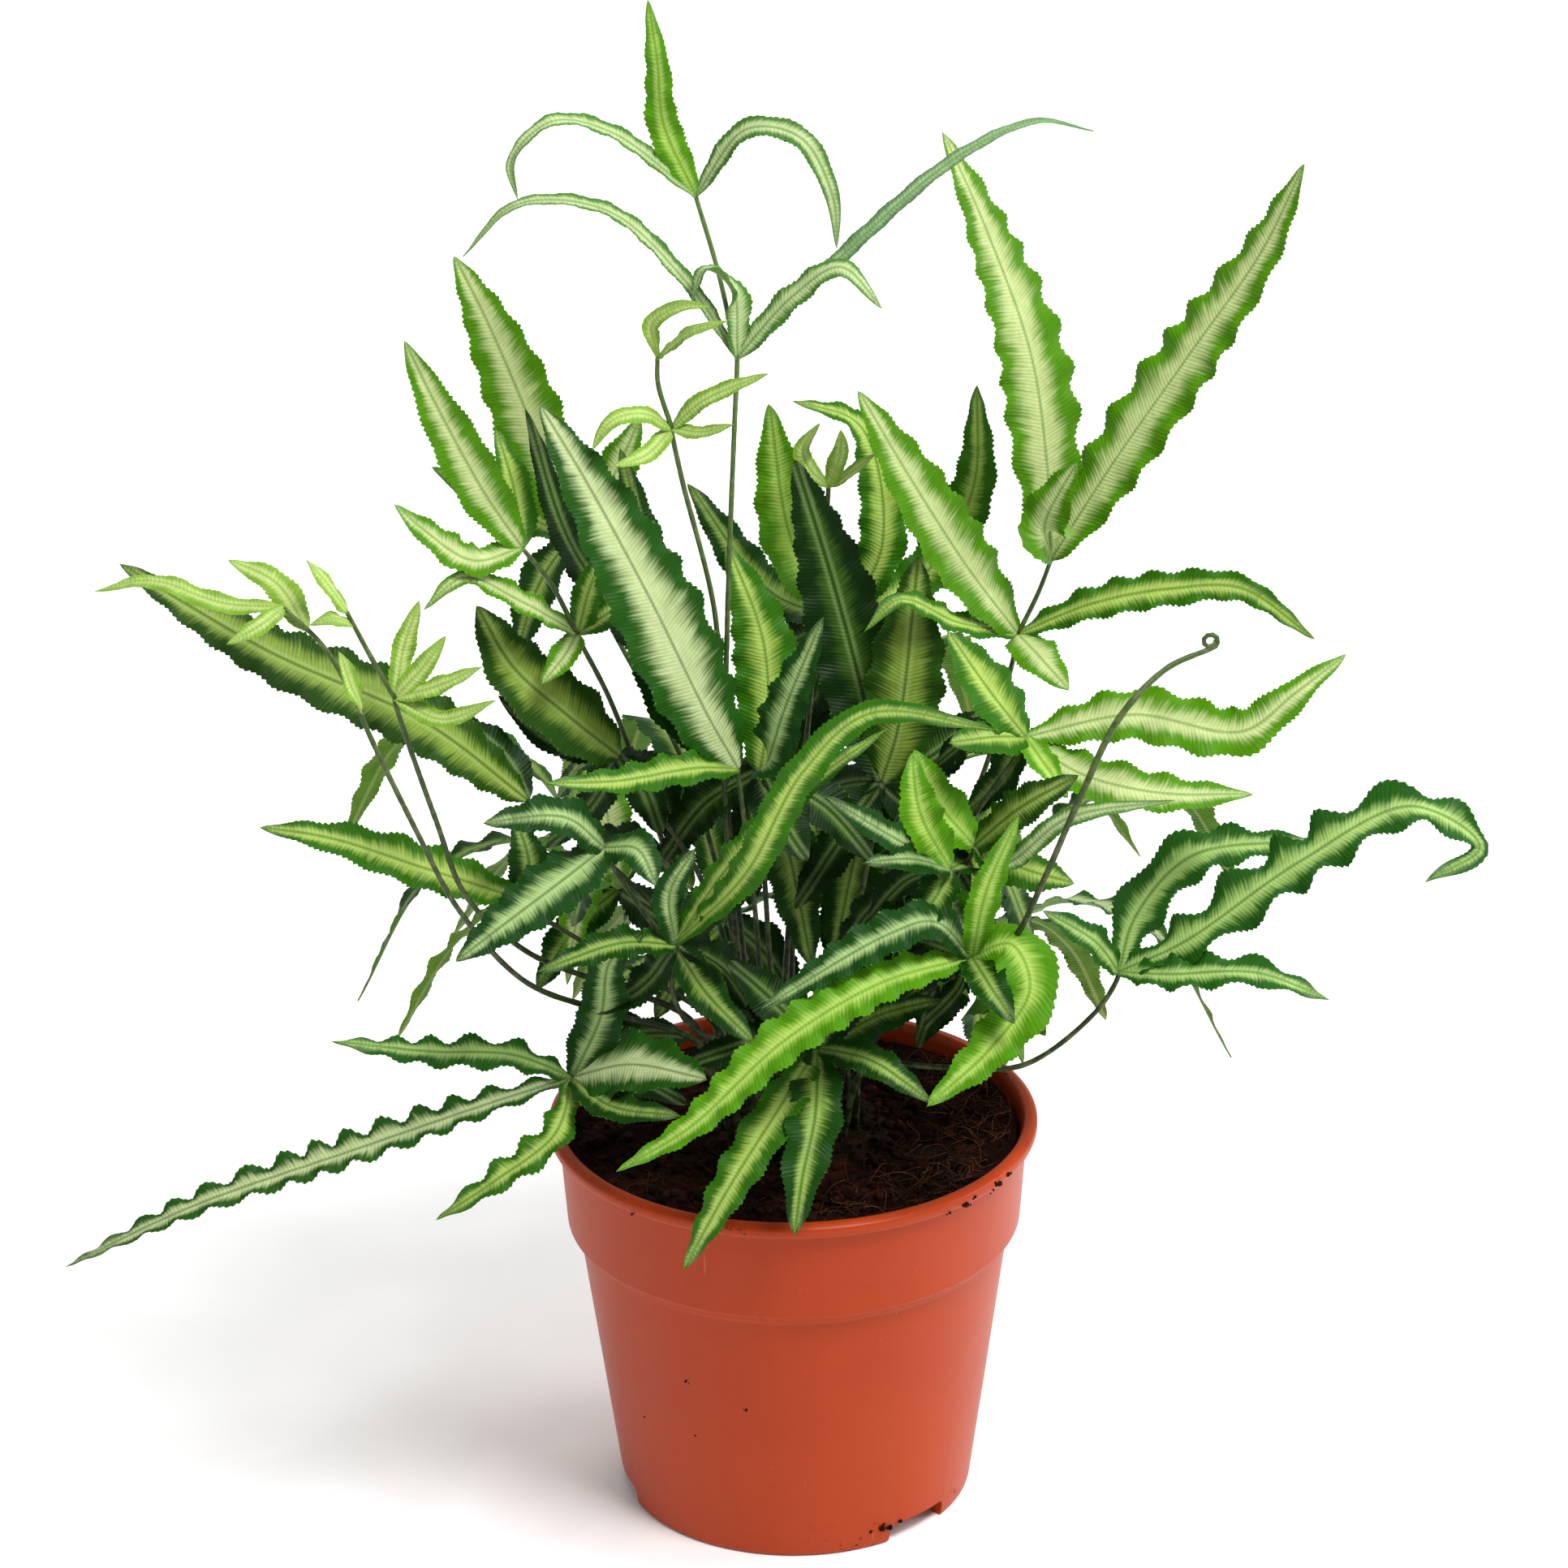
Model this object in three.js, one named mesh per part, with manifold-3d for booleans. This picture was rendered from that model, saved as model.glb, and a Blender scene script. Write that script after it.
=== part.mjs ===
// A potted brake fern: a moulded plastic pot, soil, a crown, and fronds of ribbon-like leaflets.
// Millimetres, +Z up. The origin is the centre of the pot's base, and -Y is the plant's front.
import * as THREE from "three";
import { mergeVertices } from "three/addons/utils/BufferGeometryUtils.js";
import Module from "manifold-3d";

const wasm = await Module();
wasm.setup();

// Pot
const POT_HEIGHT = 100;
const LIP_RADIUS = 60;
const LIP_HEIGHT = 3.4;
const COLLAR_TOP_RADIUS = 57.5;
const COLLAR_BASE_RADIUS = 55.8;
const COLLAR_BASE_Z = 73;
const SHOULDER_RADIUS = 53;
const SHOULDER_Z = 70.5;
const BASE_RADIUS = 43.5;
const WALL = 1.4;
const FLOOR_UNDERSIDE_Z = 6;
const CENTRE_PAD_RADIUS = 14;
const FOOT_WIDTH = 3;
const POT_SEGMENTS = 40;
const PAD_SLOPE = { outside: 2.5, insideLow: 0.5, insideHigh: 3 };
const FOOT_SLOPE = 1;
const FLOOR_BEVEL = 1.5;
// Bevels of the lip: [inwards from its radius, up or down from its edge].
const LIP = {
  undercut: 0.4,
  lowBevel: [0.6, 0.8],
  topBevel: [1.8, 1.2],
  innerBevel: [0.6, 0.3],
  innerDrop: 2,
};
const STEP_INSIDE = { collarRise: 1, shoulderDrop: 0.5 };
const FOOT_NOTCH = { count: 3, firstAngle: -47, width: 18, height: 5, depth: 12 };
const DRAIN_HOLE = { count: 8, ring: 28, radius: 3.2, length: 20, sides: 12 };

// Soil and crown
const SOIL_EDGE_Z = 94;
const SOIL_TOP_Z = 96;
const SOIL_FLOOR_BEVEL = [1.4, 2];
const SOIL_STEP = { shoulderDrop: 1, collarRise: 1.5 };
const SOIL_LEVEL_WIDTH = 12; // the level ring round the crown
const CROWN_RADIUS = 24;
const CROWN_TOP_Z = 99.5;
const CROWN_BOTTOM_Z = 90;
const CROWN_TAPER = { bottom: 4.5, soil: 0.5, dish: 4, shoulder: 3, top: 6 };
const CROWN_SHOULDER_DROP = 1;
const CROWN_SEGMENTS = 24;
const GAP = 0.3;

// Fronds
const STEM_FOOT_Z = 100;
const STIPE_RADIUS = 0.9;
const STIPE_SIDES = 5;
const RACHIS_RADIUS = 0.8;
const RACHIS_STEPS = 3;
const RACHIS_START = 0.6; // share of the way from a stem's end to its leaflets
const LEAF_THICKNESS = 0.9;
const LEAF_STALK_WIDTH = 1.6;
const CLEARANCE = 0.35; // kept where two fronds would touch
const TIP_CLEARANCE = 6; // how many clearances a leaflet's tip keeps ahead of it
const FACING = new THREE.Vector3(0, -0.6, 0.8); // where an unrolled leaflet's upper face looks
const BACK_FACING = new THREE.Vector3(0, 0.3, 0.95); // the same for the fronds at the back

// Each frond has a stem from the crown to its first leaflets, a midrib that carries any leaflets
// above those, and the leaflets: [width, roll in degrees, twist in degrees, points of the midrib].
const fronds = [
  {
    stem: [
      [-8, -1, 100], [-12, -4, 150], [-15, -10, 195], [-14, -12, 237],
      [-12, -8, 278], [-11, -6, 296],
    ],
    rachis: [[-11, -6, 297], [-15, -2, 316], [-20, 0, 334]],
    leaflets: [
      [8, -30, 0, [[-20, 0, 334], [-27, -3, 352], [-28, -4, 366], [-30, 0, 380]]],
      [5, 0, 20, [[-20, 0, 334], [-39, -6, 351], [-52, -11, 355], [-61, -14, 347], [-60, -14, 338]]],
      [6, 0, 0, [[-20, 0, 334], [-8, -5, 351], [4, -9, 350], [11, -11, 337], [12, -12, 325]]],
      [5, 10, 0, [[-11, -6, 297], [-22, -10, 316], [-40, -17, 336], [-60, -22, 339], [-72, -24, 328]]],
      [8, 40, 0, [[-11, -6, 297], [-12, -9, 315], [-18, -14, 321], [-21, -15, 314]]],
      [7, 0, 0, [[-11, -6, 297], [2, -10, 313], [13, -14, 321], [22, -16, 312]]],
      [4, 0, 0, [[-11, -6, 297], [12, -3, 319], [40, 2, 342], [58, 6, 349], [71, 8, 346]]],
    ],
  },
  {
    stem: [
      [-5, -5, 100], [-13, -11, 150], [-16, -14, 211], [-17, -15, 238], [-24, -18, 272],
      [-26, -20, 284],
    ],
    rachis: [[-26, -20, 285], [-29, -20, 296], [-29, -20, 302]],
    leaflets: [
      [5, 0, 0, [[-26, -20, 285], [-33, -24, 290], [-40, -27, 289], [-44, -28, 283]]],
      [5, 0, 0, [[-26, -20, 285], [-32, -27, 281], [-39, -31, 280]]],
      [5, 0, 0, [[-26, -20, 285], [-19, -22, 292], [-4, -26, 300]]],
      [4, 0, 0, [[-26, -20, 285], [-19, -26, 286], [-12, -29, 289]]],
      [4, 20, 0, [[-29, -20, 302], [-30, -23, 311], [-23, -25, 316], [-17, -26, 316]]],
      [4, 0, 0, [[-29, -20, 302], [-21, -28, 311], [-13, -30, 314]]],
    ],
  },
  {
    stem: [[-11, 4, 100], [-12, 9, 130], [-25, 20, 183], [-42, 28, 216], [-52, 32, 238]],
    leaflets: [
      [17, -20, 10, [[-52, 32, 239], [-59, 34, 262], [-70, 38, 290], [-78, 38, 308]]],
      [12, 10, 0, [[-52, 32, 239], [-43, 40, 249], [-35, 46, 264]]],
      [10, 0, 0, [[-52, 32, 239], [-66, 45, 241], [-86, 52, 250]]],
      [11, 0, 0, [[-52, 32, 239], [-60, 34, 226], [-66, 34, 208]]],
    ],
  },
  {
    stem: [[-16, -3, 100], [-20, -3, 135], [-33, -4, 183], [-42, -8, 213], [-49, -17, 233]],
    rachis: [[-49, -18, 234], [-55, -20, 248], [-61, -22, 257]],
    leaflets: [
      [12, -20, 0, [[-61, -22, 257], [-69, -24, 271], [-80, -26, 295], [-86, -24, 308]]],
      [9, 0, 0, [[-61, -22, 257], [-72, -30, 257], [-83, -33, 266], [-89, -33, 272]]],
      [9, 20, 0, [[-61, -22, 257], [-63, -13, 268], [-67, -8, 281]]],
      [7, 0, 0, [[-49, -18, 234], [-62, -27, 246], [-74, -33, 254], [-83, -37, 248]]],
      [7, 0, 0, [[-49, -18, 234], [-52, -25, 231], [-57, -29, 226]]],
      [8, 30, 0, [[-49, -18, 234], [-46, -11, 243], [-42, -8, 251]]],
      [7, 0, 0, [[-49, -18, 234], [-41, -12, 237], [-33, -10, 240]]],
    ],
  },
  {
    stem: [[-4, -10, 100], [-7, -16, 140], [-9, -20, 170], [-12, -22, 200]],
    leaflets: [
      [22, 0, 0, [[-12, -22, 201], [-19, -25, 216], [-32, -28, 247], [-46, -26, 275], [-56, -18, 290]]],
      [12, 20, 0, [[-12, -22, 201], [-33, -10, 227], [-50, -5, 250], [-60, -6, 285]]],
      [14, 10, 0, [[-12, -22, 201], [-27, -14, 214], [-33, 6, 243], [-39, 14, 268]]],
      [9, 0, 0, [[-12, -22, 201], [-22, -33, 206], [-40, -40, 206], [-56, -43, 207]]],
    ],
  },
  {
    stem: [[-9, -7, 100], [-14, -12, 135], [-28, -20, 160], [-48, -30, 186], [-60, -34, 198]],
    leaflets: [
      [17, 0, 0, [[-61, -34, 199], [-84, -39, 221], [-119, -37, 238], [-153, -27, 256]]],
      [10, 20, 0, [[-61, -34, 199], [-67, -28, 208], [-80, -27, 219]]],
    ],
  },
  {
    stem: [
      [-15, -14, 100], [-22, -20, 128], [-42, -33, 143], [-62, -52, 161], [-76, -62, 184],
      [-84, -66, 204], [-96, -64, 233],
    ],
    rachis: [[-96, -64, 234], [-104, -60, 248], [-113, -58, 257]],
    leaflets: [
      [6, 30, 0, [[-96, -64, 234], [-98, -68, 242], [-100, -70, 251]]],
      [5, 0, 0, [[-113, -58, 257], [-127, -55, 257], [-143, -51, 261], [-156, -49, 258]]],
      [7, 0, 0, [[-108, -59, 252], [-115, -51, 260], [-126, -46, 264]]],
      [5, 0, 0, [[-113, -58, 257], [-118, -64, 255], [-125, -67, 252]]],
    ],
  },
  {
    stem: [
      [-17, -9, 100], [-24, -15, 132], [-44, -25, 147], [-62, -40, 163], [-75, -50, 182],
      [-81, -54, 203], [-89, -56, 233],
    ],
    rachis: [[-89, -56, 234], [-94, -56, 244], [-99, -56, 255]],
    leaflets: [
      [5, 20, 0, [[-99, -56, 255], [-103, -59, 263], [-107, -60, 269]]],
      [4, 0, 0, [[-98, -56, 252], [-102, -60, 255], [-107, -61, 254]]],
      [6, 40, 0, [[-89, -56, 234], [-87, -53, 245], [-83, -52, 256]]],
      [5, 20, 0, [[-89, -56, 234], [-82, -56, 242], [-77, -56, 249]]],
      [5, 0, 0, [[-89, -56, 234], [-79, -59, 238], [-69, -60, 243]]],
      [5, 0, 0, [[-89, -56, 234], [-78, -62, 231], [-66, -63, 236]]],
    ],
  },
  {
    stem: [[-13, -9, 100], [-18, -14, 130], [-34, -24, 148], [-52, -37, 166], [-62, -42, 176]],
    leaflets: [
      [12, 0, 0, [[-62, -42, 177], [-84, -44, 186], [-106, -46, 195], [-122, -46, 198]]],
      [10, 10, 0, [[-62, -42, 177], [-61, -36, 184], [-64, -31, 193]]],
    ],
  },
  {
    stem: [[-12, -4, 100], [-14, -7, 140], [-22, -12, 170], [-34, -16, 192], [-40, -16, 201]],
    leaflets: [
      [19, 0, 0, [[-40, -16, 202], [-52, -19, 214], [-64, -21, 227], [-72, -20, 242]]],
      [10, 20, 0, [[-40, -16, 202], [-34, -22, 196], [-30, -30, 188]]],
      [8, 0, 0, [[-40, -16, 202], [-55, -16, 206], [-68, -14, 217]]],
      [10, 0, 0, [[-40, -16, 202], [-47, -13, 188], [-58, -12, 177]]],
    ],
  },
  {
    stem: [[-9, -13, 100], [-14, -21, 133], [-28, -36, 161], [-43, -44, 190]],
    leaflets: [
      [11, 0, 0, [[-43, -44, 191], [-52, -49, 201], [-70, -54, 202]]],
      [15, 0, 0, [[-43, -44, 191], [-53, -59, 189], [-65, -70, 184], [-76, -77, 178]]],
      [10, 0, 0, [[-43, -44, 191], [-35, -50, 193], [-31, -54, 186]]],
    ],
  },
  {
    stem: [[-6, -17, 100], [-12, -26, 128], [-24, -38, 142], [-28, -44, 155], [-27, -46, 166]],
    leaflets: [
      [8, 20, 0, [[-27, -46, 167], [-28, -50, 182], [-22, -52, 194]]],
      [8, 0, 0, [[-27, -46, 167], [-14, -55, 191], [4, -58, 212], [22, -56, 225]]],
      [9, 0, 60, [[-27, -46, 167], [-10, -63, 193], [3, -68, 220], [18, -68, 234], [47, -64, 228]]],
      [9, 0, 0, [[-27, -46, 167], [-40, -58, 173], [-58, -66, 170]]],
      [10, 0, 0, [[-27, -46, 167], [-20, -43, 153], [-9, -45, 141]]],
      [9, 0, 0, [[-27, -46, 167], [-35, -43, 155], [-47, -43, 148]]],
    ],
  },
  {
    stem: [[-11, -18, 100], [-18, -26, 122], [-28, -33, 131], [-40, -38, 133], [-51, -40, 130]],
    leaflets: [
      [8, 0, 0, [[-52, -40, 130], [-66, -44, 138], [-85, -46, 140], [-108, -44, 142]]],
      [8, 0, 0, [[-52, -40, 130], [-72, -50, 128], [-103, -53, 118], [-142, -50, 102], [-174, -44, 83]]],
      [8, 0, 0, [[-52, -40, 130], [-56, -54, 122], [-70, -60, 113], [-84, -60, 103]]],
      [18, 0, 0, [[-52, -40, 130], [-38, -50, 138], [-20, -66, 142]]],
      [9, 0, 0, [[-52, -40, 130], [-42, -58, 131], [-26, -69, 134]]],
      [12, 30, 0, [[-52, -40, 130], [-45, -43, 147], [-42, -50, 165], [-34, -55, 174]]],
      [10, 0, 0, [[-52, -40, 130], [-39, -34, 127], [-25, -33, 119]]],
    ],
  },
  {
    stem: [[8, -15, 100], [11, -21, 125], [24, -32, 144], [35, -42, 157], [42, -46, 162]],
    leaflets: [
      [12, 0, 0, [[42, -46, 163], [20, -60, 163], [-2, -67, 152], [-24, -71, 132], [-41, -71, 121]]],
      [11, 0, 0, [[42, -46, 163], [33, -50, 174], [22, -55, 173], [-7, -62, 158]]],
      [14, 0, 0, [[42, -46, 163], [51, -50, 168], [55, -57, 160], [46, -63, 148], [31, -69, 136]]],
      [10, 0, 0, [[42, -46, 163], [46, -61, 162], [51, -67, 156]]],
      [8, 30, 0, [[42, -46, 163], [45, -54, 184], [52, -58, 204]]],
      [10, 0, 0, [[42, -46, 163], [39, -37, 150], [31, -33, 139]]],
    ],
  },
  {
    stem: [[2, -19, 100], [3, -27, 122], [5, -36, 134], [6, -41, 138]],
    leaflets: [
      [11, 0, 0, [[6, -42, 138], [-4, -60, 130], [-15, -70, 116], [-26, -71, 95]]],
      [13, 0, 0, [[6, -42, 138], [5, -61, 129], [2, -71, 119], [0, -75, 106]]],
      [9, 0, 0, [[6, -42, 138], [19, -54, 140], [32, -63, 134]]],
      [12, 10, 0, [[6, -42, 138], [12, -40, 151], [17, -38, 165]]],
      [12, 0, 0, [[6, -42, 138], [-5, -38, 149], [-15, -36, 158]]],
      [11, 0, 0, [[6, -42, 138], [-9, -42, 139], [-25, -40, 133]]],
      [11, 0, 0, [[6, -42, 138], [21, -37, 144], [35, -35, 147]]],
    ],
  },
  {
    stem: [[10, 3, 100], [12, 7, 132], [25, 9, 150], [45, 12, 180], [53, 15, 209], [55, 16, 218]],
    rachis: [[55, 16, 219], [60, 18, 229], [63, 19, 237]],
    leaflets: [
      [19, 15, 0, [[63, 19, 237], [62, 22, 258], [58, 25, 286], [47, 24, 318], [37, 21, 342]]],
      [19, -15, 0, [[63, 19, 237], [78, 19, 262], [96, 18, 290], [111, 16, 314], [120, 13, 336]]],
      [13, 0, 0, [[63, 19, 237], [61, 11, 249], [68, 6, 266]]],
      [17, 0, 0, [[55, 16, 219], [43, 10, 238], [29, 8, 262], [17, 10, 283]]],
      [7, 0, 0, [[55, 16, 219], [40, 4, 227], [26, -4, 236], [18, -6, 229]]],
      [11, 0, 0, [[55, 16, 219], [59, 3, 219], [66, -7, 214]]],
      [9, 0, 40, [[55, 16, 219], [73, 8, 230], [91, 4, 235], [107, 1, 236], [124, -4, 225]]],
    ],
  },
  {
    stem: [[13, -3, 100], [15, -6, 132], [26, -10, 152], [43, -20, 187], [55, -26, 209]],
    leaflets: [
      [13, 0, 40, [[55, -26, 210], [80, -30, 217], [105, -31, 213], [117, -30, 222], [129, -26, 230]]],
      [12, 0, 0, [[55, -26, 210], [67, -36, 205], [85, -41, 202], [107, -40, 201]]],
      [14, 10, 0, [[55, -26, 210], [47, -26, 221], [37, -22, 235]]],
      [12, 0, 0, [[55, -26, 210], [47, -33, 213], [37, -36, 213]]],
      [7, 0, 0, [[55, -26, 210], [59, -38, 208], [64, -45, 203]]],
      [10, 0, 0, [[55, -26, 210], [50, -20, 197], [41, -17, 186]]],
    ],
  },
  {
    stem: [[10, -8, 100], [15, -14, 130], [28, -20, 155], [39, -28, 176], [43, -32, 184]],
    leaflets: [
      [11, 20, 0, [[43, -32, 185], [54, -47, 202], [66, -51, 211]]],
      [5, 0, 60, [[43, -32, 185], [50, -44, 186], [64, -52, 201], [88, -52, 205]]],
      [12, 0, 0, [[43, -32, 185], [34, -30, 196], [29, -28, 208]]],
      [12, 0, 0, [[43, -32, 185], [54, -36, 181], [66, -38, 178]]],
    ],
  },
  {
    stem: [[12, -13, 100], [18, -21, 122], [38, -29, 126], [55, -32, 128], [72, -34, 143], [77, -34, 152]],
    leaflets: [
      [8, 0, 0, [[77, -34, 153], [71, -38, 163], [59, -38, 171]]],
      [12, 10, 0, [[77, -34, 153], [81, -31, 166], [94, -28, 180], [123, -24, 182]]],
      [13, 0, 0, [
        [77, -34, 153], [92, -39, 163], [118, -41, 184],
        [144, -39, 197], [160, -40, 187], [147, -46, 181],
      ]],
      [9, 0, 0, [[77, -34, 153], [88, -44, 157], [108, -50, 160], [125, -50, 153]]],
    ],
  },
  {
    stem: [[1, 8, 100], [0, 16, 130], [3, 26, 160], [10, 32, 192], [14, 34, 215]],
    leaflets: [
      [12, 10, 0, [[14, 34, 216], [23, 36, 235], [18, 38, 264], [2, 32, 273]]],
      [15, 0, 0, [[14, 34, 216], [2, 33, 234], [-4, 30, 273]]],
      [13, 0, 0, [[14, 34, 216], [33, 42, 224], [45, 44, 245], [46, 42, 273]]],
      [12, 0, 0, [[14, 34, 216], [-4, 45, 219], [-24, 52, 245]]],
      [12, 0, 0, [[14, 34, 216], [7, 29, 200], [-6, 25, 185]]],
      [12, 0, 0, [[14, 34, 216], [26, 31, 204], [35, 28, 187]]],
    ],
  },
  {
    stem: [[5, -2, 100], [12, 0, 140], [18, 0, 163], [22, 0, 187]],
    leaflets: [
      [20, 0, 0, [[22, 0, 188], [18, 8, 206], [11, 14, 233], [2, 16, 264]]],
      [19, 0, 0, [[22, 0, 188], [26, 0, 202], [31, 6, 243]]],
      [15, 0, 0, [[22, 0, 188], [34, 1, 194], [47, 4, 204]]],
      [12, 0, 0, [[22, 0, 188], [12, -5, 175], [1, -7, 158]]],
      [12, 0, 0, [[22, 0, 188], [34, -5, 177], [43, -7, 162]]],
    ],
  },
  {
    stem: [[0, -7, 100], [-4, -11, 130], [-6, -12, 165], [-7, -12, 195]],
    leaflets: [
      [16, 0, 0, [[-7, -12, 196], [-5, -8, 208], [-6, -3, 226], [-14, 2, 248]]],
      [12, 0, 0, [[-7, -12, 196], [-5, -20, 202], [-1, -27, 218], [8, -30, 242]]],
      [13, 0, 0, [[-7, -12, 196], [-4, -17, 191], [0, -24, 185], [4, -30, 181]]],
      [12, 0, 0, [[-7, -12, 196], [8, -14, 188], [20, -14, 173]]],
      [12, 0, 0, [[-7, -12, 196], [-20, -10, 187], [-31, -11, 172]]],
    ],
  },
  {
    stem: [[4, -13, 100], [6, -19, 132], [20, -30, 158], [31, -36, 175], [36, -38, 181]],
    leaflets: [
      [11, 0, 0, [[37, -38, 182], [30, -42, 198], [28, -42, 213]]],
      [9, 0, 0, [[37, -38, 182], [27, -50, 190], [17, -54, 191]]],
      [9, 0, 0, [[37, -38, 182], [23, -48, 195], [8, -50, 206]]],
      [10, 0, 0, [[37, -38, 182], [33, -45, 177], [26, -47, 170]]],
    ],
  },
  {
    stem: [[-3, 4, 100], [-1, 8, 140], [3, 14, 180], [8, 20, 230], [10, 22, 254]],
    leaflets: [
      [5, 0, 0, [[10, 22, 255], [6, 21, 259], [4, 19, 265], [8, 16, 273]]],
      [5, 0, 0, [[10, 22, 255], [12, 21, 260], [13, 19, 265], [13, 17, 271]]],
      [4, 0, 0, [[10, 22, 255], [14, 20, 258], [18, 17, 262], [21, 14, 266]]],
    ],
  },
];

// The hidden fronds at the back arch outwards: [heading from +X, reach, height of the first
// leaflets, stem foot on the crown].
const backFronds = [
  [156, 46, 152, [-12, 10]],
  [112, 42, 134, [-3, 14]],
  [66, 42, 156, [6, 13]],
  [24, 48, 134, [13, 9]],
];
// Their leaflets: [turn from the frond's heading, length, rise, droop at the tip, width].
const backLeaflets = [
  [0, 85, 55, 45, 15],
  [55, 80, 35, 40, 13],
  [-55, 80, 35, 40, 13],
  [25, 62, 10, 48, 12],
  [-95, 40, 12, 24, 11],
  [95, 40, 18, 24, 11],
];
// Along a back leaflet: shares of its length, how much the arch shortens its reach, and how far
// through a sine wave its rise goes.
const BACK_LEAFLET = { shares: [0, 0.35, 0.7, 1], shortening: 0.1, riseAngle: 2.2 };
// A back stem: [share of the reach, share of the lift] at its bends, and where it stops.
const BACK_STEM = { bends: [[0, 0], [0.2, 0.35], [0.6, 0.8]], endShare: 0.97, endDrop: 1 };

const crozierPath = [
  [15, -9, 100], [18, -20, 131], [34, -32, 149], [51, -46, 167], [58, -56, 187],
  [66, -59, 209], [75, -55, 227], [86, -48, 236], [96, -44, 239],
];
const CROZIER = { coilRadius: 3, tightening: 0.35, turns: 1.25, coilPoints: 8, radius: 1.1, steps: 34 };

const radians = THREE.MathUtils.degToRad;
const vector = (p) => new THREE.Vector3(...p);
const curveThrough = (points) => new THREE.CatmullRomCurve3(points.map(vector), false, "centripetal");

// A geometry as a manifold solid, and back.
function solid(geometry) {
  const bare = geometry.clone();
  bare.deleteAttribute("normal");
  bare.deleteAttribute("uv");
  const merged = mergeVertices(bare, 1e-4);
  const mesh = new wasm.Mesh({
    numProp: 3,
    vertProperties: merged.attributes.position.array,
    triVerts: new Uint32Array(merged.index.array),
  });
  return new wasm.Manifold(mesh);
}

function geometryOf(body) {
  const mesh = body.getMesh();
  const geometry = new THREE.BufferGeometry();
  geometry.setAttribute("position", new THREE.BufferAttribute(mesh.vertProperties, 3));
  geometry.setIndex(new THREE.BufferAttribute(mesh.triVerts, 1));
  geometry.computeVertexNormals();
  return geometry;
}

const group = new THREE.Group();

function addNode(name, geometry, material) {
  const mesh = new THREE.Mesh(geometry, material.clone());
  mesh.name = name;
  group.add(mesh);
}

const terracottaPlastic = new THREE.MeshStandardMaterial({ color: 0xb9532c, roughness: 0.45 });
const pottingMix = new THREE.MeshStandardMaterial({ color: 0x2c1d14, roughness: 1 });
const crownFibre = new THREE.MeshStandardMaterial({ color: 0x3a2416, roughness: 0.9 });
const stemGreen = new THREE.MeshStandardMaterial({ color: 0x6f7a3c, roughness: 0.6 });
const leafGreen = new THREE.MeshStandardMaterial({ color: 0x5c9a34, roughness: 0.6 });

function lathe(profile, segments) {
  return new THREE.LatheGeometry(profile.map(([r, z]) => new THREE.Vector2(r, z)), segments)
    .rotateX(Math.PI / 2);
}

// The wall from the underside's centre, up the outside, over the lip and down the inside.
function potProfile() {
  const inside = FLOOR_UNDERSIDE_Z + WALL;
  const lipBase = POT_HEIGHT - LIP_HEIGHT;
  return [
    [0, 0],
    [CENTRE_PAD_RADIUS, 0],
    [CENTRE_PAD_RADIUS + PAD_SLOPE.outside, FLOOR_UNDERSIDE_Z],
    [BASE_RADIUS - FOOT_WIDTH - FOOT_SLOPE, FLOOR_UNDERSIDE_Z],
    [BASE_RADIUS - FOOT_WIDTH, 0],
    [BASE_RADIUS, 0],
    [SHOULDER_RADIUS, SHOULDER_Z],
    [COLLAR_BASE_RADIUS, COLLAR_BASE_Z],
    [COLLAR_TOP_RADIUS, lipBase - LIP.undercut],
    [LIP_RADIUS - LIP.lowBevel[0], lipBase],
    [LIP_RADIUS, lipBase + LIP.lowBevel[1]],
    [LIP_RADIUS, POT_HEIGHT - LIP.topBevel[1]],
    [LIP_RADIUS - LIP.topBevel[0], POT_HEIGHT],
    [COLLAR_TOP_RADIUS - LIP.innerBevel[0], POT_HEIGHT - LIP.innerBevel[1]],
    [COLLAR_TOP_RADIUS - WALL, POT_HEIGHT - LIP.innerDrop],
    [COLLAR_BASE_RADIUS - WALL, COLLAR_BASE_Z + STEP_INSIDE.collarRise],
    [SHOULDER_RADIUS - WALL, SHOULDER_Z - STEP_INSIDE.shoulderDrop],
    [BASE_RADIUS - WALL, inside + FLOOR_BEVEL],
    [BASE_RADIUS - WALL - FLOOR_BEVEL, inside],
    [CENTRE_PAD_RADIUS + PAD_SLOPE.insideHigh, inside],
    [CENTRE_PAD_RADIUS + PAD_SLOPE.insideLow, WALL],
    [0, WALL],
  ];
}

function makePot() {
  let pot = solid(lathe(potProfile(), POT_SEGMENTS));
  for (let i = 0; i < FOOT_NOTCH.count; i++) {
    const angle = radians(FOOT_NOTCH.firstAngle + (i * 360) / FOOT_NOTCH.count);
    const notch = new THREE.BoxGeometry(FOOT_NOTCH.depth, FOOT_NOTCH.width, 2 * FOOT_NOTCH.height)
      .translate(BASE_RADIUS, 0, 0)
      .rotateZ(angle);
    pot = pot.subtract(solid(notch));
  }
  const { radius, length, sides } = DRAIN_HOLE;
  for (let i = 0; i < DRAIN_HOLE.count; i++) {
    const hole = new THREE.CylinderGeometry(radius, radius, length, sides)
      .rotateX(Math.PI / 2)
      .translate(DRAIN_HOLE.ring, 0, FLOOR_UNDERSIDE_Z)
      .rotateZ(((i + 0.5) * 2 * Math.PI) / DRAIN_HOLE.count);
    pot = pot.subtract(solid(hole));
  }
  addNode("pot", geometryOf(pot), terracottaPlastic);
}

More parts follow.
